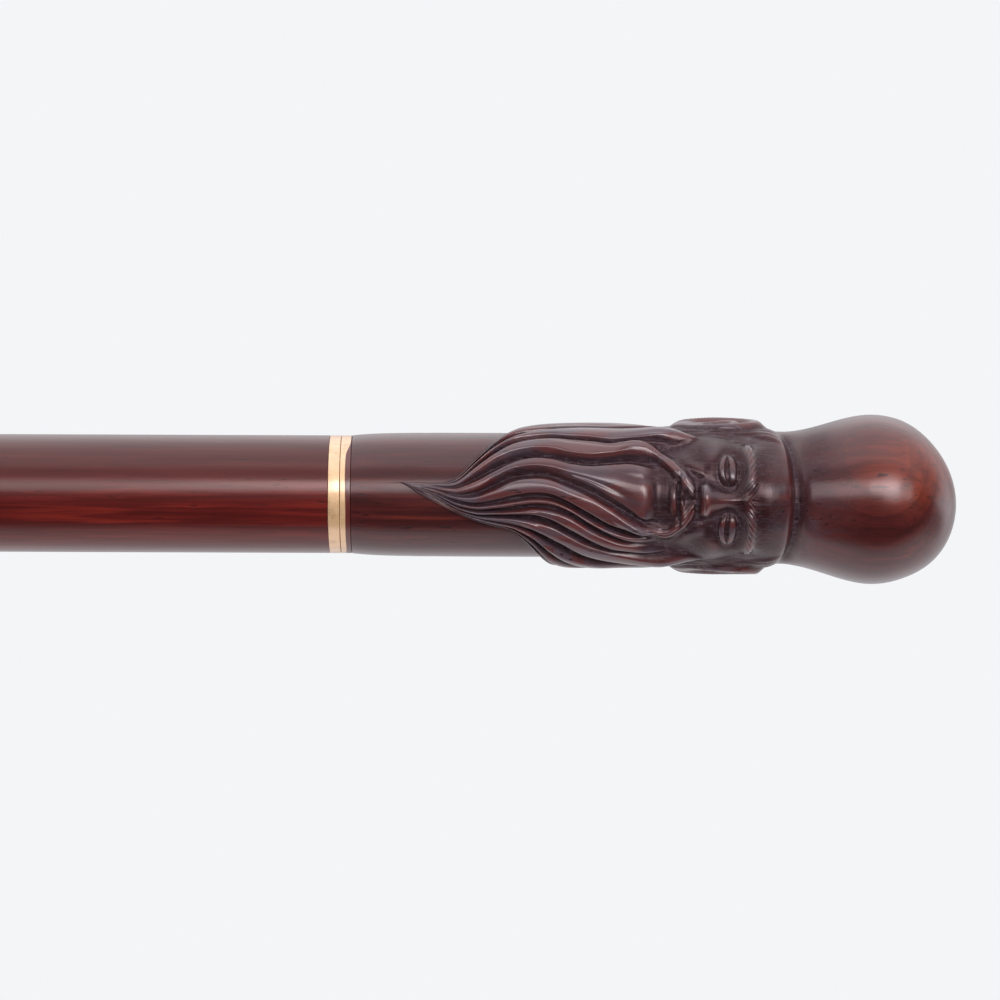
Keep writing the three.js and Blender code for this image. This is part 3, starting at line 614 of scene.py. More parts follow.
knob_centre = handle_length - knob_radius
crease = knob_centre - crease_drop
third = face_length / 3
brow_line = crease - third
nose_base = brow_line - third
chin = nose_base - third
beard_tip = chin - beard_length
cheek_top = chin + 5

columns_of_back = 44
lock_crowding = 0.45
face_crowding = 0.42
back_crowding = 0.75
columns_beside = 11
least_half_angle = radians(24)
beside_angle = radians(5)
knob_shift = 0.7  # how far the knob was carved off the stem's middle, towards +X
knob_lean = 1.0  # how much further its top was

# The lines drawn on the beard before it is cut, as degrees round from the front, at even steps from its
# tip up to the chin: its left edge, the eleven cuts between its locks, and its right edge
BEARD_LINES = np.radians([
    [-14, -14, -14, -19, -37, -57, -77, -95, -107, -113, -113, -113, -113, -113],
    [-14, -13.6, -13.4, -18, -34.5, -52, -68, -81, -88, -90, -90, -90, -89, -88],
    [-14, -13.2, -12.8, -16.5, -31, -46, -58, -65, -68, -69, -69, -68, -67, -66],
    [-14, -12.6, -12, -14, -26.5, -39, -49, -53, -54, -52, -50, -48, -48.5, -49],
    [-14, -11.6, -10, -9.5, -17, -26, -33, -36, -35, -31, -29, -30, -31, -29],
    [-14, -10, -6.5, -2.5, -4, -11, -18, -20, -18, -12, -6, 2, 11, 19],
    [-14, -9, -3.5, 2.5, 5, 3, 0, -2, -1, 5, 13, 21, 26, 29],
    [-14, -8, -1.5, 6.5, 10, 9.5, 8, 6, 7, 12, 21, 29, 35, 39],
    [-14, -7, 0, 9, 13.5, 14, 14, 15, 19, 27, 36, 43, 47, 50],
    [-14, -6.2, 1.8, 11, 16.5, 19, 21.5, 27, 37, 48, 57, 63, 67, 69],
    [-14, -5.4, 3.2, 12.3, 18.4, 22, 25, 34, 51, 68, 79, 84, 86, 87],
    [-14, -4.7, 4.4, 13.3, 19.8, 24, 28, 41, 67, 87, 97, 100, 101, 101],
    [-14, -4, 5.5, 14, 21, 26, 31, 50, 81, 104, 112, 113, 113, 113],
])
# How deep each cut is at the same steps, in eighths of lock_depth, and half how wide it is
CUT_EIGHTHS = [
    [0, 0, 0, 2, 4, 5, 6, 7, 8, 8, 8, 7, 6, 4],
    [0, 0, 1, 3, 5, 6, 6, 6, 6, 6, 6, 6, 6, 4],
    [0, 0, 1, 2, 4, 5, 5, 5, 6, 8, 9, 9, 8, 5],
    [0, 0, 2, 4, 6, 8, 9, 9, 9, 9, 9, 9, 9, 8],
    [0, 0, 2, 3, 6, 9, 9, 9, 8, 7, 7, 7, 8, 8],
    [0, 1, 2, 4, 5, 5, 6, 7, 7, 7, 8, 8, 8, 7],
    [0, 1, 2, 4, 5, 6, 6, 6, 6, 7, 8, 7, 5, 3],
    [0, 0, 2, 4, 5, 6, 7, 8, 8, 8, 8, 8, 7, 5],
    [0, 0, 2, 4, 5, 6, 8, 9, 9, 9, 8, 7, 6, 4],
    [0, 0, 1, 3, 4, 5, 6, 7, 7, 7, 7, 7, 6, 4],
    [0, 0, 1, 3, 4, 5, 6, 7, 8, 8, 8, 7, 6, 4],
]
CUT_HALF_WIDTHS = [0.7, 0.6, 0.85, 1.15, 1.25, 0.8, 0.7, 0.9, 1.5, 0.8, 0.8]
# How far each lock stands above or below the rest
LOCK_LEVELS = [-0.25, 0.0, 0.15, 0.3, 0.1, 0.35, 0.0, 0.2, 0.0, 0.1, -0.1, -0.2]
COLUMNS_OF_LOCKS = [12, 16, 17, 20, 38, 23, 17, 17, 21, 19, 18, 12]


def blank_radius(height):
    """The turned blank: a stem that rounds off at its end, a head a little wider, and the knob, where
    r^2 = R^2 - h^2."""
    stem = stem_radius - (stem_radius - stem_end_radius) * np.exp(-height / stem_ease)
    head = (head_radius - stem_radius) * smooth(chin - head_ease, chin + head_ease, height)
    knob = (knob_radius - head_radius) * smooth(knob_centre - knob_drop, knob_centre, height)
    ball = np.sqrt(np.maximum(0, knob_radius ** 2 - (height - knob_centre) ** 2))
    return np.where(height > knob_centre, ball, stem + head + knob)


def through(values, share):
    """A smooth curve through evenly spaced values, at shares of its length: a cubic between each two,
    whose slope at a value is half the step from the value before it to the one after it."""
    values = np.asarray(values, float)
    last = len(values) - 1
    place = np.clip(share, 0, 1) * last
    i = np.minimum(place.astype(int), last - 1)
    s = place - i
    before, here = values[np.maximum(i - 1, 0)], values[i]
    after, beyond = values[i + 1], values[np.minimum(i + 2, last)]
    slope_here, slope_after = (after - before) / 2, (beyond - here) / 2
    return (here * (1 + 2 * s) * (1 - s) ** 2 + slope_here * s * (1 - s) ** 2
            + after * s * s * (3 - 2 * s) - slope_after * s * s * (1 - s))


def beard_share(height):
    """How far up the beard a height is: 0 at its tip and 1 at the chin."""
    return (height - beard_tip) / beard_length


def beard_lines(height):
    """The angle of each line of the beard at each height, and the cosine of how far it leans."""
    share = beard_share(height)
    step = 0.05
    lines = [through(line, share) for line in BEARD_LINES]
    leans = [(through(line, share + step / beard_length) - line_here) / step * stem_radius
             for line, line_here in zip(BEARD_LINES, lines)]
    return lines, [1 / np.hypot(1, lean) for lean in leans]


def crowded(count, share, waves=1):
    """Even steps e from 0 up to 1, moved by -share sin(2 pi waves e) / (2 pi waves), which crowds them
    at the ends of each wave."""
    even = np.arange(count)[None, :] / count
    return even - share * np.sin(2 * np.pi * waves * even) / (2 * np.pi * waves)


def column_angles(height):
    """The angle of each column of the mesh at each height. The front columns follow the lines of the
    beard, with a few beside it; on the face they crowd in its middle and at the ears; the rest go round
    the back."""
    share = np.maximum(beard_share(height), 0.01)
    lines = [through(line, share) for line in BEARD_LINES]
    left, right = lines[0], lines[-1]
    middle = (left + right) / 2
    reach = np.maximum(least_half_angle, (right - left) / 2 + beside_angle)
    beside = crowded(columns_beside, 0)
    front = [middle - reach + (left - middle + reach) * (1 - (1 - beside) ** 2)]
    for count, line, after in zip(COLUMNS_OF_LOCKS, lines, lines[1:]):
        front.append(line + (after - line) * crowded(count, lock_crowding))
    front.append(right + (middle + reach - right) * beside ** 2)
    front = np.concatenate(front, axis=1)
    on_face = middle + reach * (2 * crowded(front.shape[1], face_crowding, 2) - 1)
    front = front + (on_face - front) * smooth(chin, chin + third, height)
    back = crowded(columns_of_back, back_crowding * smooth(chin - third, chin, height))
    return np.concatenate([front, middle + reach + 2 * (np.pi - reach) * back], axis=1)


def hair_lines(lock, height, count, depth):
    """Fine lines along a lock, count to each, that wander a little and fade in and out."""
    lines = 0
    for i in range(count):
        wander = 0.06 * np.sin(height / 5.3 + 2.3 * i + lock) + 0.03 * np.sin(height / 2.9 + 1.1 * i)
        away = lock - np.floor(lock) - (i + 0.7) / (count + 0.4) - wander
        fade = smooth(-0.2, 0.7, np.sin(height / 6.1 + 2.6 * i + 4 * np.floor(lock)))
        lines = lines + bell(away / 0.07) * fade
    return depth * lines


def quarter_round(x):
    """0 at 0 and 1 at 1, along a quarter of a circle."""
    return np.sqrt(1 - (1 - x) ** 2)


def lock_cuts(angle, share, lines, leans):
    """How deep the cuts between the locks are. They have crisp edges and round floors: they lose q^1.3
    of their depth at a share q of the way up their sides."""
    cuts = 0
    for i, (eighths, half_width) in enumerate(zip(CUT_EIGHTHS, CUT_HALF_WIDTHS)):
        before, line, after = lines[i:i + 3]
        lean = leans[i + 1]
        gap = np.minimum(line - before, after - line) * lean * stem_radius
        half = np.clip(np.minimum(half_width, 0.42 * gap), 0.05, None)
        away = np.abs(angle - line) * lean * (stem_radius + 2)
        q = np.clip((away - 0.12 * half) / half, 0, 1)
        depth = lock_depth * through(np.array(eighths) / 8, share)
        cuts = np.maximum(cuts, depth * np.minimum(1, half / (0.6 * half_width)) * (1 - q ** 1.3))
    return cuts


def beard_relief(angle, height):
    """A cushioned mass with a soft edge, softest on the cheeks; in front of the ears its whiskers rise
    and thin out. On it are gently crowned locks with fine hair lines, less the cuts between them."""
    share = beard_share(height)
    lines, leans = beard_lines(height)
    left, right = lines[0], lines[-1]
    inside = np.minimum((angle - left) * leans[0], (right - angle) * leans[-1]) * stem_radius
    edge = np.clip(inside / np.clip(0.4 * (right - left) * stem_radius, 0.3, beard_edge), 0, 1)
    left_side, right_side = smooth(0, -np.pi / 2, angle), smooth(0, np.pi / 2, angle)
    whiskers = bell((np.abs(angle) - radians(60)) / radians(10))
    top = cheek_top - 2.6 * left_side + 9 * whiskers
    fade = (top - height) / ((cheek_fade + 5 * left_side + 14 * right_side) * (1 - 0.3 * whiskers))
    fade = np.clip(fade, 0, 1)
    eased = smooth(0, 1, fade)
    ends = eased + (left_side + right_side) * (quarter_round(fade) - eased)
    thinned = 1 - 0.5 * smooth(cheek_top - 3, cheek_top + 7, height)
    rounded = quarter_round(edge) * ends * smooth(0, 0.2, fade) * thinned
    full = smooth(0, 0.8, share)
    mass = beard_thickness * (0.3 + 0.7 * full) * (0.74 + 0.54 * np.cos(angle))
    lock = sum(np.clip((angle - line) / np.maximum(after - line, 1e-3), 0, 1)
               for line, after in zip(lines, lines[1:]))
    lock = np.minimum(lock, len(LOCK_LEVELS) - 1e-6)
    knots = [j + v for j in range(len(LOCK_LEVELS)) for v in (0.12, 0.88)]
    level = np.interp(lock, knots, np.repeat(LOCK_LEVELS, 2))
    crown = 0.5 * (1 - (2 * (lock - np.floor(lock)) - 1) ** 2)
    detail = (crown + level) * smooth(0.05, 0.45, share)
    detail = detail - hair_lines(lock, height, 2, 0.22) * smooth(0.1, 0.5, share)
    return np.where(share > 0, rounded * (mass + detail - lock_cuts(angle, share, lines, leans)), 0)


def nose_relief(side, height):
    """A ridge that rises and widens down to its round tip and turns under, with a wing and a nostril on
    each side."""
    tip = nose_base + third * 0.18
    root = brow_line - third * 0.12
    down = np.clip((root - height) / (root - tip), 0, 1)
    under = smooth(nose_base - third * 0.06, tip, height)
    ridge = bell(np.abs(side / (2.6 * (0.5 + 0.42 * down))) ** 1.2)
    wing_out, wing_up = (side - 2.15) / 1.1, (height - tip + 0.1) / 1.3
    wing = bell(wing_out, wing_up)
    fold = bell((np.hypot(wing_out, wing_up) - 1.65) / 0.5) * smooth(2.2, 3.2, side)
    ball = bell(side / 1.7, (height - tip - 0.3) / 1.4)
    nostril = bell((side - 1.25) / 0.55, (height - nose_base + 0.1) / 0.5)
    return 3.1 * down * under * ridge + 1.0 * wing + 0.3 * ball - 0.25 * fold - 0.5 * nostril


def eye_relief(side, height):
    """An eyeball in its hollow: a half ellipsoid, a heavy upper lid with a fold above it that leaves the
    eye half closed, and a thin lower lid."""
    out = (side - 5.6) / 3.1
    up = height - (brow_line - third * 0.36)
    oval = np.hypot(out, up / 2.3)
    ball = 1.9 * np.clip(1 - oval ** 2, 0, 1) ** 0.75
    hollow = 1.9 * bell(out / 1.25, (up - 0.2) / 2.8) + 0.5 * bell((side - 2.7) / 1.1, up / 1.5)
    arch = np.clip(1 - out ** 2, 0, 1)
    upper_edge = 0.15 * arch ** 0.8 - 0.12 * out
    lower_edge = -1.0 * arch - 0.12 * out
    near = smooth(1.2, 0.95, oval)
    upper_lid = 0.3 * smooth(-0.1, 0.14, up - upper_edge) * smooth(3.0, 1.9, up)
    lower_lid = 0.2 * smooth(-0.1, 0.14, lower_edge - up) * smooth(-2.6, -1.7, up)
    opening = 0.3 * smooth(0.15, -0.15, up - upper_edge) * smooth(0.1, -0.2, lower_edge - up)
    lid_fold = 0.3 * bell((up - 1.75 + 0.35 * out ** 2) / 0.26) * smooth(1.3, 0.9, np.abs(out))
    return ball - hollow + (upper_lid + lower_lid) * near - opening * arch ** 0.3 - lid_fold


def brow_relief(side, height):
    """The bone of the brow, and on it a bushy arch that is high over the eye and falls at its outer end,
    cut with slanting hairs."""
    arch = brow_line + third * 0.1 - third * 0.3 * ((side - 5.4) / 10.8) ** 2
    bone = 0.7 * bell((height - arch + 0.4) / 2.2) * smooth(12.5, 9.0, side)
    reach = smooth(12.3, 10.0, side) * (0.3 + 0.7 * smooth(1.0, 3.2, side))
    hairs = 1 - np.abs(np.sin(np.pi * (side * 0.9 - (height - arch) * 1.2) / 1.05))
    return bone + bell((height - arch) / (1.2 - 0.03 * side)) * reach * (0.85 - 0.3 * hairs ** 1.5)


def mouth_relief(side, height):
    """Two lips, the upper with a bow in it, and a line between them that turns up at its ends."""
    line = nose_base - third * 0.37 + 0.02 * side ** 2
    up = height - line
    upper = bell(side / 3.7, (up - 0.8 + 0.1 * bell(side / 0.7)) / 0.7) * (1 - 0.25 * bell(side / 0.7))
    lower = bell(side / 3.1, (up + 0.95) / 0.85)
    between = bell(up / 0.3) * smooth(4.7, 3.4, side)
    corner = bell((side - 4.3) / 0.7, up / 0.7)
    return 0.85 * upper + 1.05 * lower - 0.6 * between - 0.35 * corner


def cheek_relief(side, height):
    """A cheekbone under the outer corner of each eye, a hollow below it, and a fold from the nose's wing
    down past the mouth."""
    bone = 1.25 * bell((side - 8.8) / 3.6, (height - nose_base - third * 0.42) / 3.3)
    hollow = 0.5 * bell((side - 10.2) / 2.8, (height - nose_base + third * 0.35) / 3.2)
    down = nose_base + 1.6 - height
    from_fold = side - 3.4 - 0.52 * down
    fold_length = smooth(-0.8, 0.8, down) * smooth(7.5, 4.0, down)
    fold = (0.4 * bell((from_fold - 1.9) / 1.6) - 0.4 * bell(from_fold / 0.75)) * fold_length
    return bone - hollow + fold


def forehead_relief(side, height):
    """A rounded forehead, and a shallow hollow at each temple."""
    dome = 0.9 * bell(side / 9, (height - brow_line - third * 0.5) / 3.6)
    return dome - 0.6 * bell((side - 12.2) / 2.2, (height - brow_line) / 4.5)


# The middle of the moustache's two locks, as degrees round from the front, at even steps from their ends
# in the beard up to the nose
MOUSTACHE_LINES = np.radians([
    [-39, -41, -41, -38, -30, -18, -4],
    [12, 17, 22, 26, 27, 18, 4],
])


def moustache_relief(angle, height):
    """Two long locks that part under the nose, run out round the mouth and turn down into the beard."""
    low, high = chin - third * 0.75, nose_base
    share = (height - low) / (high - low)
    relief = 0
    for line in MOUSTACHE_LINES:
        middle = through(line, share)
        step = 0.02
        lean = (through(line, share + step) - middle) / (step * (high - low)) * head_radius
        away = (angle - middle) * (head_radius + 1.5) / np.hypot(1, lean)
        fade = smooth(0, 0.45, share) * smooth(1.03, 0.95, share)
        hairs = 1 - np.abs(np.sin(np.pi * (away + 0.1 * np.sin(height / 1.9)) / 0.95))
        lock = bell(np.abs(away / 1.45) ** 1.3) * fade * (1.4 - 0.26 * hairs ** 1.5)
        relief = np.maximum(relief, lock)
    return relief


def ear_relief(angle, height):
    """An ear with a long lobe: an egg outline that stands out at the back, with a rolled rim, a groove
    inside it, a second ridge, and a bowl."""
    x = (np.abs(angle) - radians(88)) * head_radius
    y = height - (brow_line + nose_base) / 2
    half_width = 2.6 + 1.7 * smooth(-8, 5, y)
    out = (x - 0.06 * y) / half_width
    oval = np.hypot(out, (y + 0.5) / 10.5)
    plate = 2.6 * smooth(1.2, 0.84, oval) * (0.78 + 0.22 * np.clip(out, -1, 1))
    plate = plate * (1 - 0.45 * ((y - 2) / 11) ** 2)
    high = smooth(-7, -1, y)
    rim = 0.55 * bell((oval - 0.8) / 0.15) * np.maximum(high, smooth(0.1, 0.7, out))
    groove = 0.9 * bell((oval - 0.58) / 0.13) * high * smooth(-0.5, 0.1, out + 0.08 * y)
    ridge = 0.35 * bell((oval - 0.38) / 0.12) * high
    bowl = 1.7 * bell((x + 0.3) / 1.5, (y + 0.4) / 3.0)
    lobe = 0.35 * bell(x / 2.0, (y + 8.3) / 2.2)
    return np.maximum(plate + (rim - groove + ridge - bowl + lobe) * smooth(1.1, 0.9, oval), 0)


def crease_level(angle):
    """The height of the crease under the knob, which runs lower at the sides."""
    return crease - 2.6 * (1 - np.cos(angle))


def side_hair_relief(angle, height):
    """Hair combed down over the temples and into the beard, in wavy strands. Its front edge swings back
    at the brow and forward again up to the crease."""
    away = np.abs(angle)
    front = radians(63) - radians(11) * smooth(brow_line, crease, height)
    front = front - radians(6) * smooth(nose_base, chin, height)
    down = crease_level(angle) - height
    patch = (smooth(front, front + radians(9), away) * smooth(radians(118), radians(98), away)
             * smooth(chin - 2, chin + third * 0.5, height) * smooth(0.6, 3.6, down))
    across = (away - front) * head_radius + 0.35 * np.sin(height / 2.1) + 0.2 * np.sin(height / 1.3 + 1)
    strands = 1 - np.abs(np.sin(np.pi * across / 1.7))
    return patch * (0.75 - 0.3 * strands ** 1.3)


def face_relief(angle, height):
    """The face: a gentle swell with the features on it, fading out round the sides."""
    side = head_radius * np.sin(np.minimum(np.abs(angle), np.pi / 2))
    on_face = smooth(chin - third * 0.3, chin + third * 0.4, height)
    on_face = on_face * smooth(crease, crease - third * 0.8, height)
    front = smooth(radians(80), radians(60), np.abs(angle))
    features = sum(relief(side, height) for relief in (
        nose_relief, eye_relief, brow_relief, mouth_relief, cheek_relief, forehead_relief))
    swell = 1.7 * bell(angle / radians(44)) * on_face
    return swell + features * front + side_hair_relief(angle, height)


def crease_relief(angle, height):
    """The crease under the knob: steep on the brow's side, gentle on the knob's, and gone behind the
    ears."""
    reach = smooth(radians(95), radians(60), np.abs(angle))
    above = height - crease_level(angle)
    return -1.6 * bell(above / np.where(above > 0, 1.9, 1.1)) * reach


def soft_maximum(first, second, blend):
    """The larger of two heights, with their meeting line rounded off over blend where both stand up."""
    blend = np.clip(np.minimum(first, second), 0.001, blend)
    share = np.clip(0.5 + (first - second) / (2 * blend), 0, 1)
    return second + (first - second) * share + blend * share * (1 - share)


def carved_relief(angle, height):
    """What the carver left standing on the blank: the face, the beard and the ears, less the crease."""
    beard = beard_relief(angle, height)
    raised = np.where(height < chin - third, beard, soft_maximum(face_relief(angle, height), beard, 1.0))
    raised = raised + moustache_relief(angle, height)
    return np.maximum(raised, ear_relief(angle, height)) + crease_relief(angle, height)


def blurred(values, rounds, *reaches):
    """Each value averaged with those in reach along a column and then a row, a number of times. Columns
    go round; rows stop at the ends."""
    for _ in range(rounds):
        for axis, (reach, mode) in enumerate(zip(reaches, ("edge", "wrap"))):
            width = [(reach, reach) if axis == k else (0, 0) for k in (0, 1)]
            padded = np.pad(values, width, mode=mode)
            values = sliding_window_view(padded, 2 * reach + 1, axis=axis).mean(axis=-1)
    return values


def carved_handle():
    """The handle's skin: radius as a function of the angle and the height, closed by the bore at its
    base. Its marks say where it is hollow, where a ridge, where it is cut, and where dark stain and
    painted shade go."""
    # The heights of the rows are close together on the beard, and closest on the face
    rows = np.concatenate([
        np.linspace(0, beard_tip, 9, endpoint=False),
        np.linspace(beard_tip, chin, 112, endpoint=False),
        np.linspace(chin, crease + 1.5, 170, endpoint=False),
        np.linspace(crease + 1.5, knob_centre, 12, endpoint=False),
        knob_centre + knob_radius * np.sin(np.linspace(0, np.pi / 2, 22)),
    ])[:, None]
    angle = column_angles(rows)
    signed = (angle + np.pi) % (2 * np.pi) - np.pi
    relief = carved_relief(signed, rows)
    relief[rows[:, 0] > knob_centre] = 0
    wide, wider = blurred(relief, 2, 5, 7), blurred(relief, 3, 9, 14)
    hollow = np.clip(np.maximum((wide - relief) / 0.42, (wider - relief) / 1.3), 0, 1)
    ridge = np.clip((relief - wide) / 0.45, 0, 1)
    # Painted shade over the whole face except its ridges, and on the knob's shoulder just above the
    # crease on one side; with the hollows it makes the stain mark, dark stain and painted shade in the
    # hollows
    on_face = smooth(chin - third * 0.9, chin + third * 0.6, rows)
    on_face = on_face * smooth(crease + 1, crease - third * 0.7, rows)
    on_face = on_face * smooth(radians(105), radians(60), np.abs(signed)) * (1 - ridge)
    shoulder = bell((rows - crease - 4) / 4.5) * smooth(radians(30), radians(-30), signed)
    stain = np.maximum(hollow, np.maximum(on_face, 0.7 * shoulder))
    skin = round_points(blank_radius(rows) + relief, rows, angle)
    skin[:, :, 0] += knob_shift * smooth(chin - third, knob_centre + third, rows)
    skin[:, :, 0] += knob_lean * smooth(knob_centre + 0.3 * knob_radius, handle_length, rows)
    anchor_gap = 0.3
    bore_end = anchor_top - handle_base + anchor_gap
    bore = [(0, bore_end), (bush_bore, bore_end), (bush_bore, spigot_depth), (spigot_bore, spigot_depth),
            (spigot_bore, bevel), (spigot_bore + bevel, 0), (stem_end_radius - bevel, 0)]
    first = angle[:1]
    inside = [round_points(np.full_like(first, radius), height, first) for radius, height in bore]
    points = np.concatenate([*inside, skin])
    points[:, :, 2] += handle_base
    flat = np.zeros((len(bore), skin.shape[1]))
    marks = {"hollow": hollow, "ridge": ridge, "stain": stain, "cut_wood": np.clip(relief / 1.2, 0, 1)}
    marks = {name: np.concatenate([flat, values]) for name, values in marks.items()}
    make_piece("carved_handle_skin", points, CARVED_WOOD, "carved_handle", "handle",
               radians(80), marks)


# Sizes of the fittings, from the drawing
ferrule_low, ferrule_top = low_and_high("foot_ferrule")
socket_low, socket_top = low_and_high("shaft_socket")
washer_low, washer_top = low_and_high("tip_washer")
glue_gap = 0.2
bevel = 0.2
bush_radius = 7.0
bush_bore = 7.2
spigot_radius = 9.0
spigot_bore = 9.2
spigot_length = 3.0
spigot_depth = 3.2
ferrule_wall = 0.8
thread_pitch = 2.5
thread_depth = 1.0
thread_turns = 5
thread_length = thread_pitch * thread_turns
thread_core = 4.0
thread_heights = np.linspace(-thread_length, 0, thread_turns * 20 + 1)


# Shaft, collars and foot

def make_shaft():
    """The shaft: a tenon for the ferrule, a long taper, a parallel top and the joint's bore."""
    top, parallel_length = shaft_top, 150
    taper_low, taper_high = ferrule_top + 0.1, top - parallel_length
    rise = np.linspace(0, 1, 40)
    taper = np.stack([foot_radius + (shaft_top_radius - foot_radius) * rise,
                      taper_low + (taper_high - taper_low) * rise], axis=-1)
    taper[0, 1] += bevel
    tenon = foot_radius - ferrule_wall - glue_gap
    bore_end = socket_low - glue_gap
    lower = filleted([(0, shaft_foot, 0), (tenon, shaft_foot, 0.3), (tenon, taper_low, 0),
                      (foot_radius - bevel, taper_low, 0)])
    upper = filleted([(shaft_top_radius, top - parallel_length / 2, 0), (shaft_top_radius, top, 0.15),
                      (spigot_bore, top, 0.1), (spigot_bore, top - spigot_depth, 0),
                      (bush_bore, top - spigot_depth, 0), (bush_bore, bore_end, 0), (0, bore_end, 0)])
    outline = np.concatenate([lower, taper, upper])
    turned("redwood_shaft", outline, SHAFT_WOOD, "shaft", "shaft", 160)


def collar_outline(width):
    """A collar with its meeting face at 0: rounded outer edges, and above it a spigot in the wood."""
    end = width + spigot_length
    return filleted([(bush_bore, 0, 0), (collar_radius, 0, 0.15), (collar_radius, width, 0.15),
                     (spigot_radius, width, 0), (spigot_radius, end, 0.2), (bush_bore, end, 0),
                     (bush_bore, 0, 0)])


def make_collars():
    """The two brass rings, with a fine gap between each and its wood. The shaft's is upside down."""
    low = low_and_high("handle_collar")[0]
    handle_gap, shaft_gap = 0.1, 0.03
    ring = collar_outline(handle_base - handle_gap - low)
    turned("handle_ring", ring, STAINED_BRASS, "handle_collar", "collar", 192, low)
    ring = collar_outline(joint_face - shaft_top - shaft_gap)[::-1] * [1, -1]
    turned("shaft_ring", ring, BRASS, "shaft_collar", "shaft", 192, joint_face)


def barbed_outline(length):
    """The outside of a glued bush, its face at 0: plain in the collar, and then a slope and a flat for
    each barb."""
    pitch, depth = 4.0, 0.5
    plain = spigot_length + pitch
    points = [(bush_radius, 0, 0), (bush_radius, plain, 0.05)]
    for z in np.arange(plain, length - pitch, pitch):
        points += [(bush_radius - depth, z, 0.1), (bush_radius, z + pitch * 0.7, 0.3),
                   (bush_radius, z + pitch, 0.05)]
    return points + [(bush_radius, length, 0.3)]


def make_anchor():
    """The anchor: a barbed bush, open through its middle."""
    length = anchor_top - handle_face
    bore = thread_core + thread_depth + glue_gap
    outline = filleted([(bore, 0, 0), *barbed_outline(length), (bore, length, 0.1), (bore, 0, 0)], 4)
    turned("anchor_bush", outline, BRASS, "handle_anchor", "handle", 96, handle_face)


def thread_share(angle, height, mouth):
    """How much of the round thread's depth stands at a place: (1 + cos(2 pi up / pitch - angle)) / 2,
    which climbs one pitch a turn. It fades in at the free end and turns into mouth over the last half
    pitch before the meeting face."""
    up = height + thread_length
    crest = (1 + np.cos(2 * np.pi * up / thread_pitch - angle)) / 2 * smooth(0, thread_pitch, up)
    return crest + (mouth - crest) * smooth(thread_length - thread_pitch / 2, thread_length, up)


def threaded(before, core, heights, after):
    """An outline for turned: a plain part, the thread's heights, and another plain part."""
    return [(*row, 0) for row in before] + [(core, z, 1) for z in heights] + [(*row, 0) for row in after]


def make_stud():
    """The stud: a blunt end, the thread up to an undercut at the meeting face, and a plain shank."""
    shank_length, point_length = 24.0, 1.5
    core, full, end = thread_core, thread_core + thread_depth, -thread_length - point_length
    point = filleted([(0, end, 0), (core - point_length / 2, end, 0.4), (core, -thread_length, 0.2)])
    shank = filleted([(full, 0, 0), (full, shank_length, 0.4), (0, shank_length, 0)])
    outline = threaded(point[:-1], core, thread_heights, shank)
    turned("joint_screw", outline, STEEL, "joint_stud", "handle", 96, handle_face, mouth=0)


def make_socket():
    """The socket: a barbed bush, closed below, with the stud's thread in it and a countersunk mouth."""
    play, floor_thickness = 0.25, 2.4
    core, length = thread_core + play, socket_top - socket_low
    outside = filleted([(0, length, 0), *barbed_outline(length)[::-1], (core + thread_depth, 0, 0)], 4)
    floor = floor_thickness - length
    outline = threaded(outside * [1, -1], core, thread_heights[-2::-1], [(core, floor), (0, floor)])
    turned("joint_socket", outline, BRASS, "shaft_socket", "shaft", 96, socket_top, mouth=1)


def make_ferrule():
    """The ferrule: a cup with a flat floor and two turned beads below its mouth."""
    low, high, out, inner = ferrule_low, ferrule_top, foot_radius, foot_radius - ferrule_wall
    beads = []
    for z in (high - 2.8, high - 1.6):
        beads += [(out, z - 0.6, 0.05), (out - 0.25, z - 0.3, 0.2), (out, z, 0.05)]
    outline = filleted([(0, low, 0), (out, low, 0.4), *beads, (out, high, 0.2), (inner, high, 0.2),
                        (inner, low + 1, 0), (0, low + 1, 0)], 4)
    turned("ferrule_cup", outline, BRASS, "foot_ferrule", "shaft")


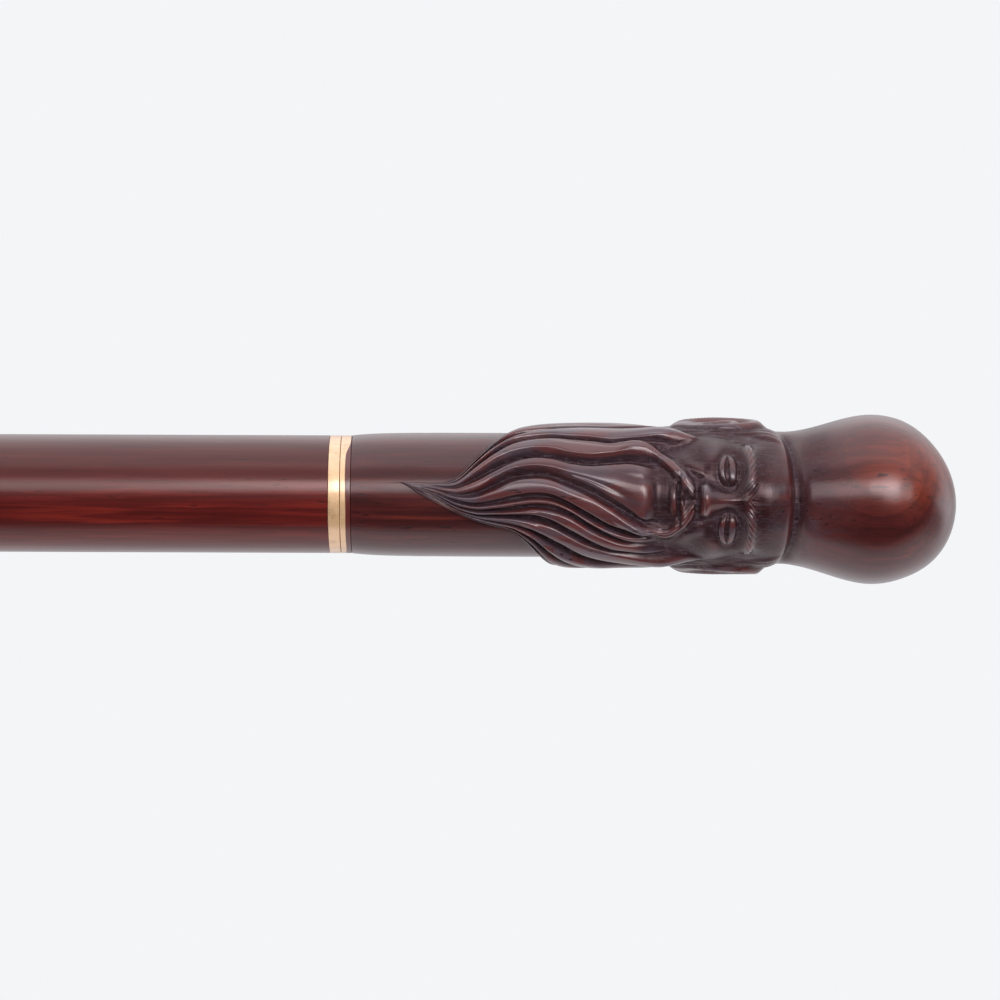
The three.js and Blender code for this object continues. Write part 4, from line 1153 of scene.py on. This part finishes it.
def make_pins():
    """The pins, laid along X: a shank with a tapered point, and a dome of r = R cos t, z = H sin t."""
    radius, length, head_radius, head_height = 0.8, 6, 1.5, 0.7
    seat, end = foot_radius + 0.1, foot_radius - length
    head = [(head_radius * math.cos(t), seat + head_height * math.sin(t))
            for t in np.linspace(0, np.pi / 2, 12)]
    outline = np.array([(0, end), (radius, end + radius), (radius, seat), (head_radius - 0.1, seat),
                        *head])
    outline[-1, 0] = 0
    angle = np.linspace(0, 2 * np.pi, 48, endpoint=False)[None, :]
    upright = round_points(outline[:, :1], outline[:, 1:], angle)
    for name, side in (("left", -1), ("right", 1)):
        node = "ferrule_pin_" + name
        points = np.stack([upright[..., 2] * side, upright[..., 1] * -side, upright[..., 0]], axis=-1)
        points[..., 2] += sum(low_and_high(node)) / 2
        make_piece("pin_" + name, points, BRASS, node, "shaft")


def make_washer():
    """The washer: a flat steel disc with eased edges."""
    low, high, radius = washer_low, washer_top, radius_of("tip_washer")
    outline = filleted([(0, low, 0), (radius, low, 0.3), (radius, high, 0.3), (0, high, 0)])
    turned("steel_washer", outline, STEEL, "tip_washer", "shaft")


def make_tip():
    """The rubber tip: a bell that flares as r = waist + (base - waist)(1 - s)^2, a bead round its mouth
    with two moulded rings below it, and three grooves in its tread."""
    waist, lip, bore = 12.8, 13.4, foot_radius + glue_gap
    base, top, floor = radius_of("rubber_tip"), low_and_high("rubber_tip")[1], washer_low - 0.05
    grooves, width, depth, slope = 3, 2.1, 1.6, 0.15
    land = (base - grooves * width) / (grooves + 1)
    tread = []
    for i in range(grooves):
        inner = land * (i + 1) + width * i
        tread += [(inner, 0, 0.3), (inner + slope, depth, 0.4), (inner + width - slope, depth, 0.4),
                  (inner + width, 0, 0.3)]
    flare = [(waist + (base - waist) * (1 - s) ** 2, 6 + 11 * s, 0) for s in np.linspace(0, 1, 14)]
    flare[0] = (base, 6, 1.2)
    rings = [(waist + out, top - drop + up, 0.2) for drop in (9.5, 7)
             for out, up in ((0, -0.7), (0.4, -0.2), (0.4, 0.2), (0, 0.7))]
    mouth = [(waist, top - 4, 0.4), (lip, top - 3, 0.8), (lip, top, 1.0), (bore, top, 0.5),
             (bore, floor, 0.3), (0, floor, 0)]
    outline = filleted([(0, 0, 0), *tread, (base, 0, 1.1), *flare, *rings, *mouth], 5)
    turned("rubber_foot", outline, RUBBER, "rubber_tip", "shaft", 160)


for make in (carved_handle, make_shaft, make_collars, make_anchor, make_stud, make_socket, make_ferrule,
             make_pins, make_washer, make_tip):
    make()
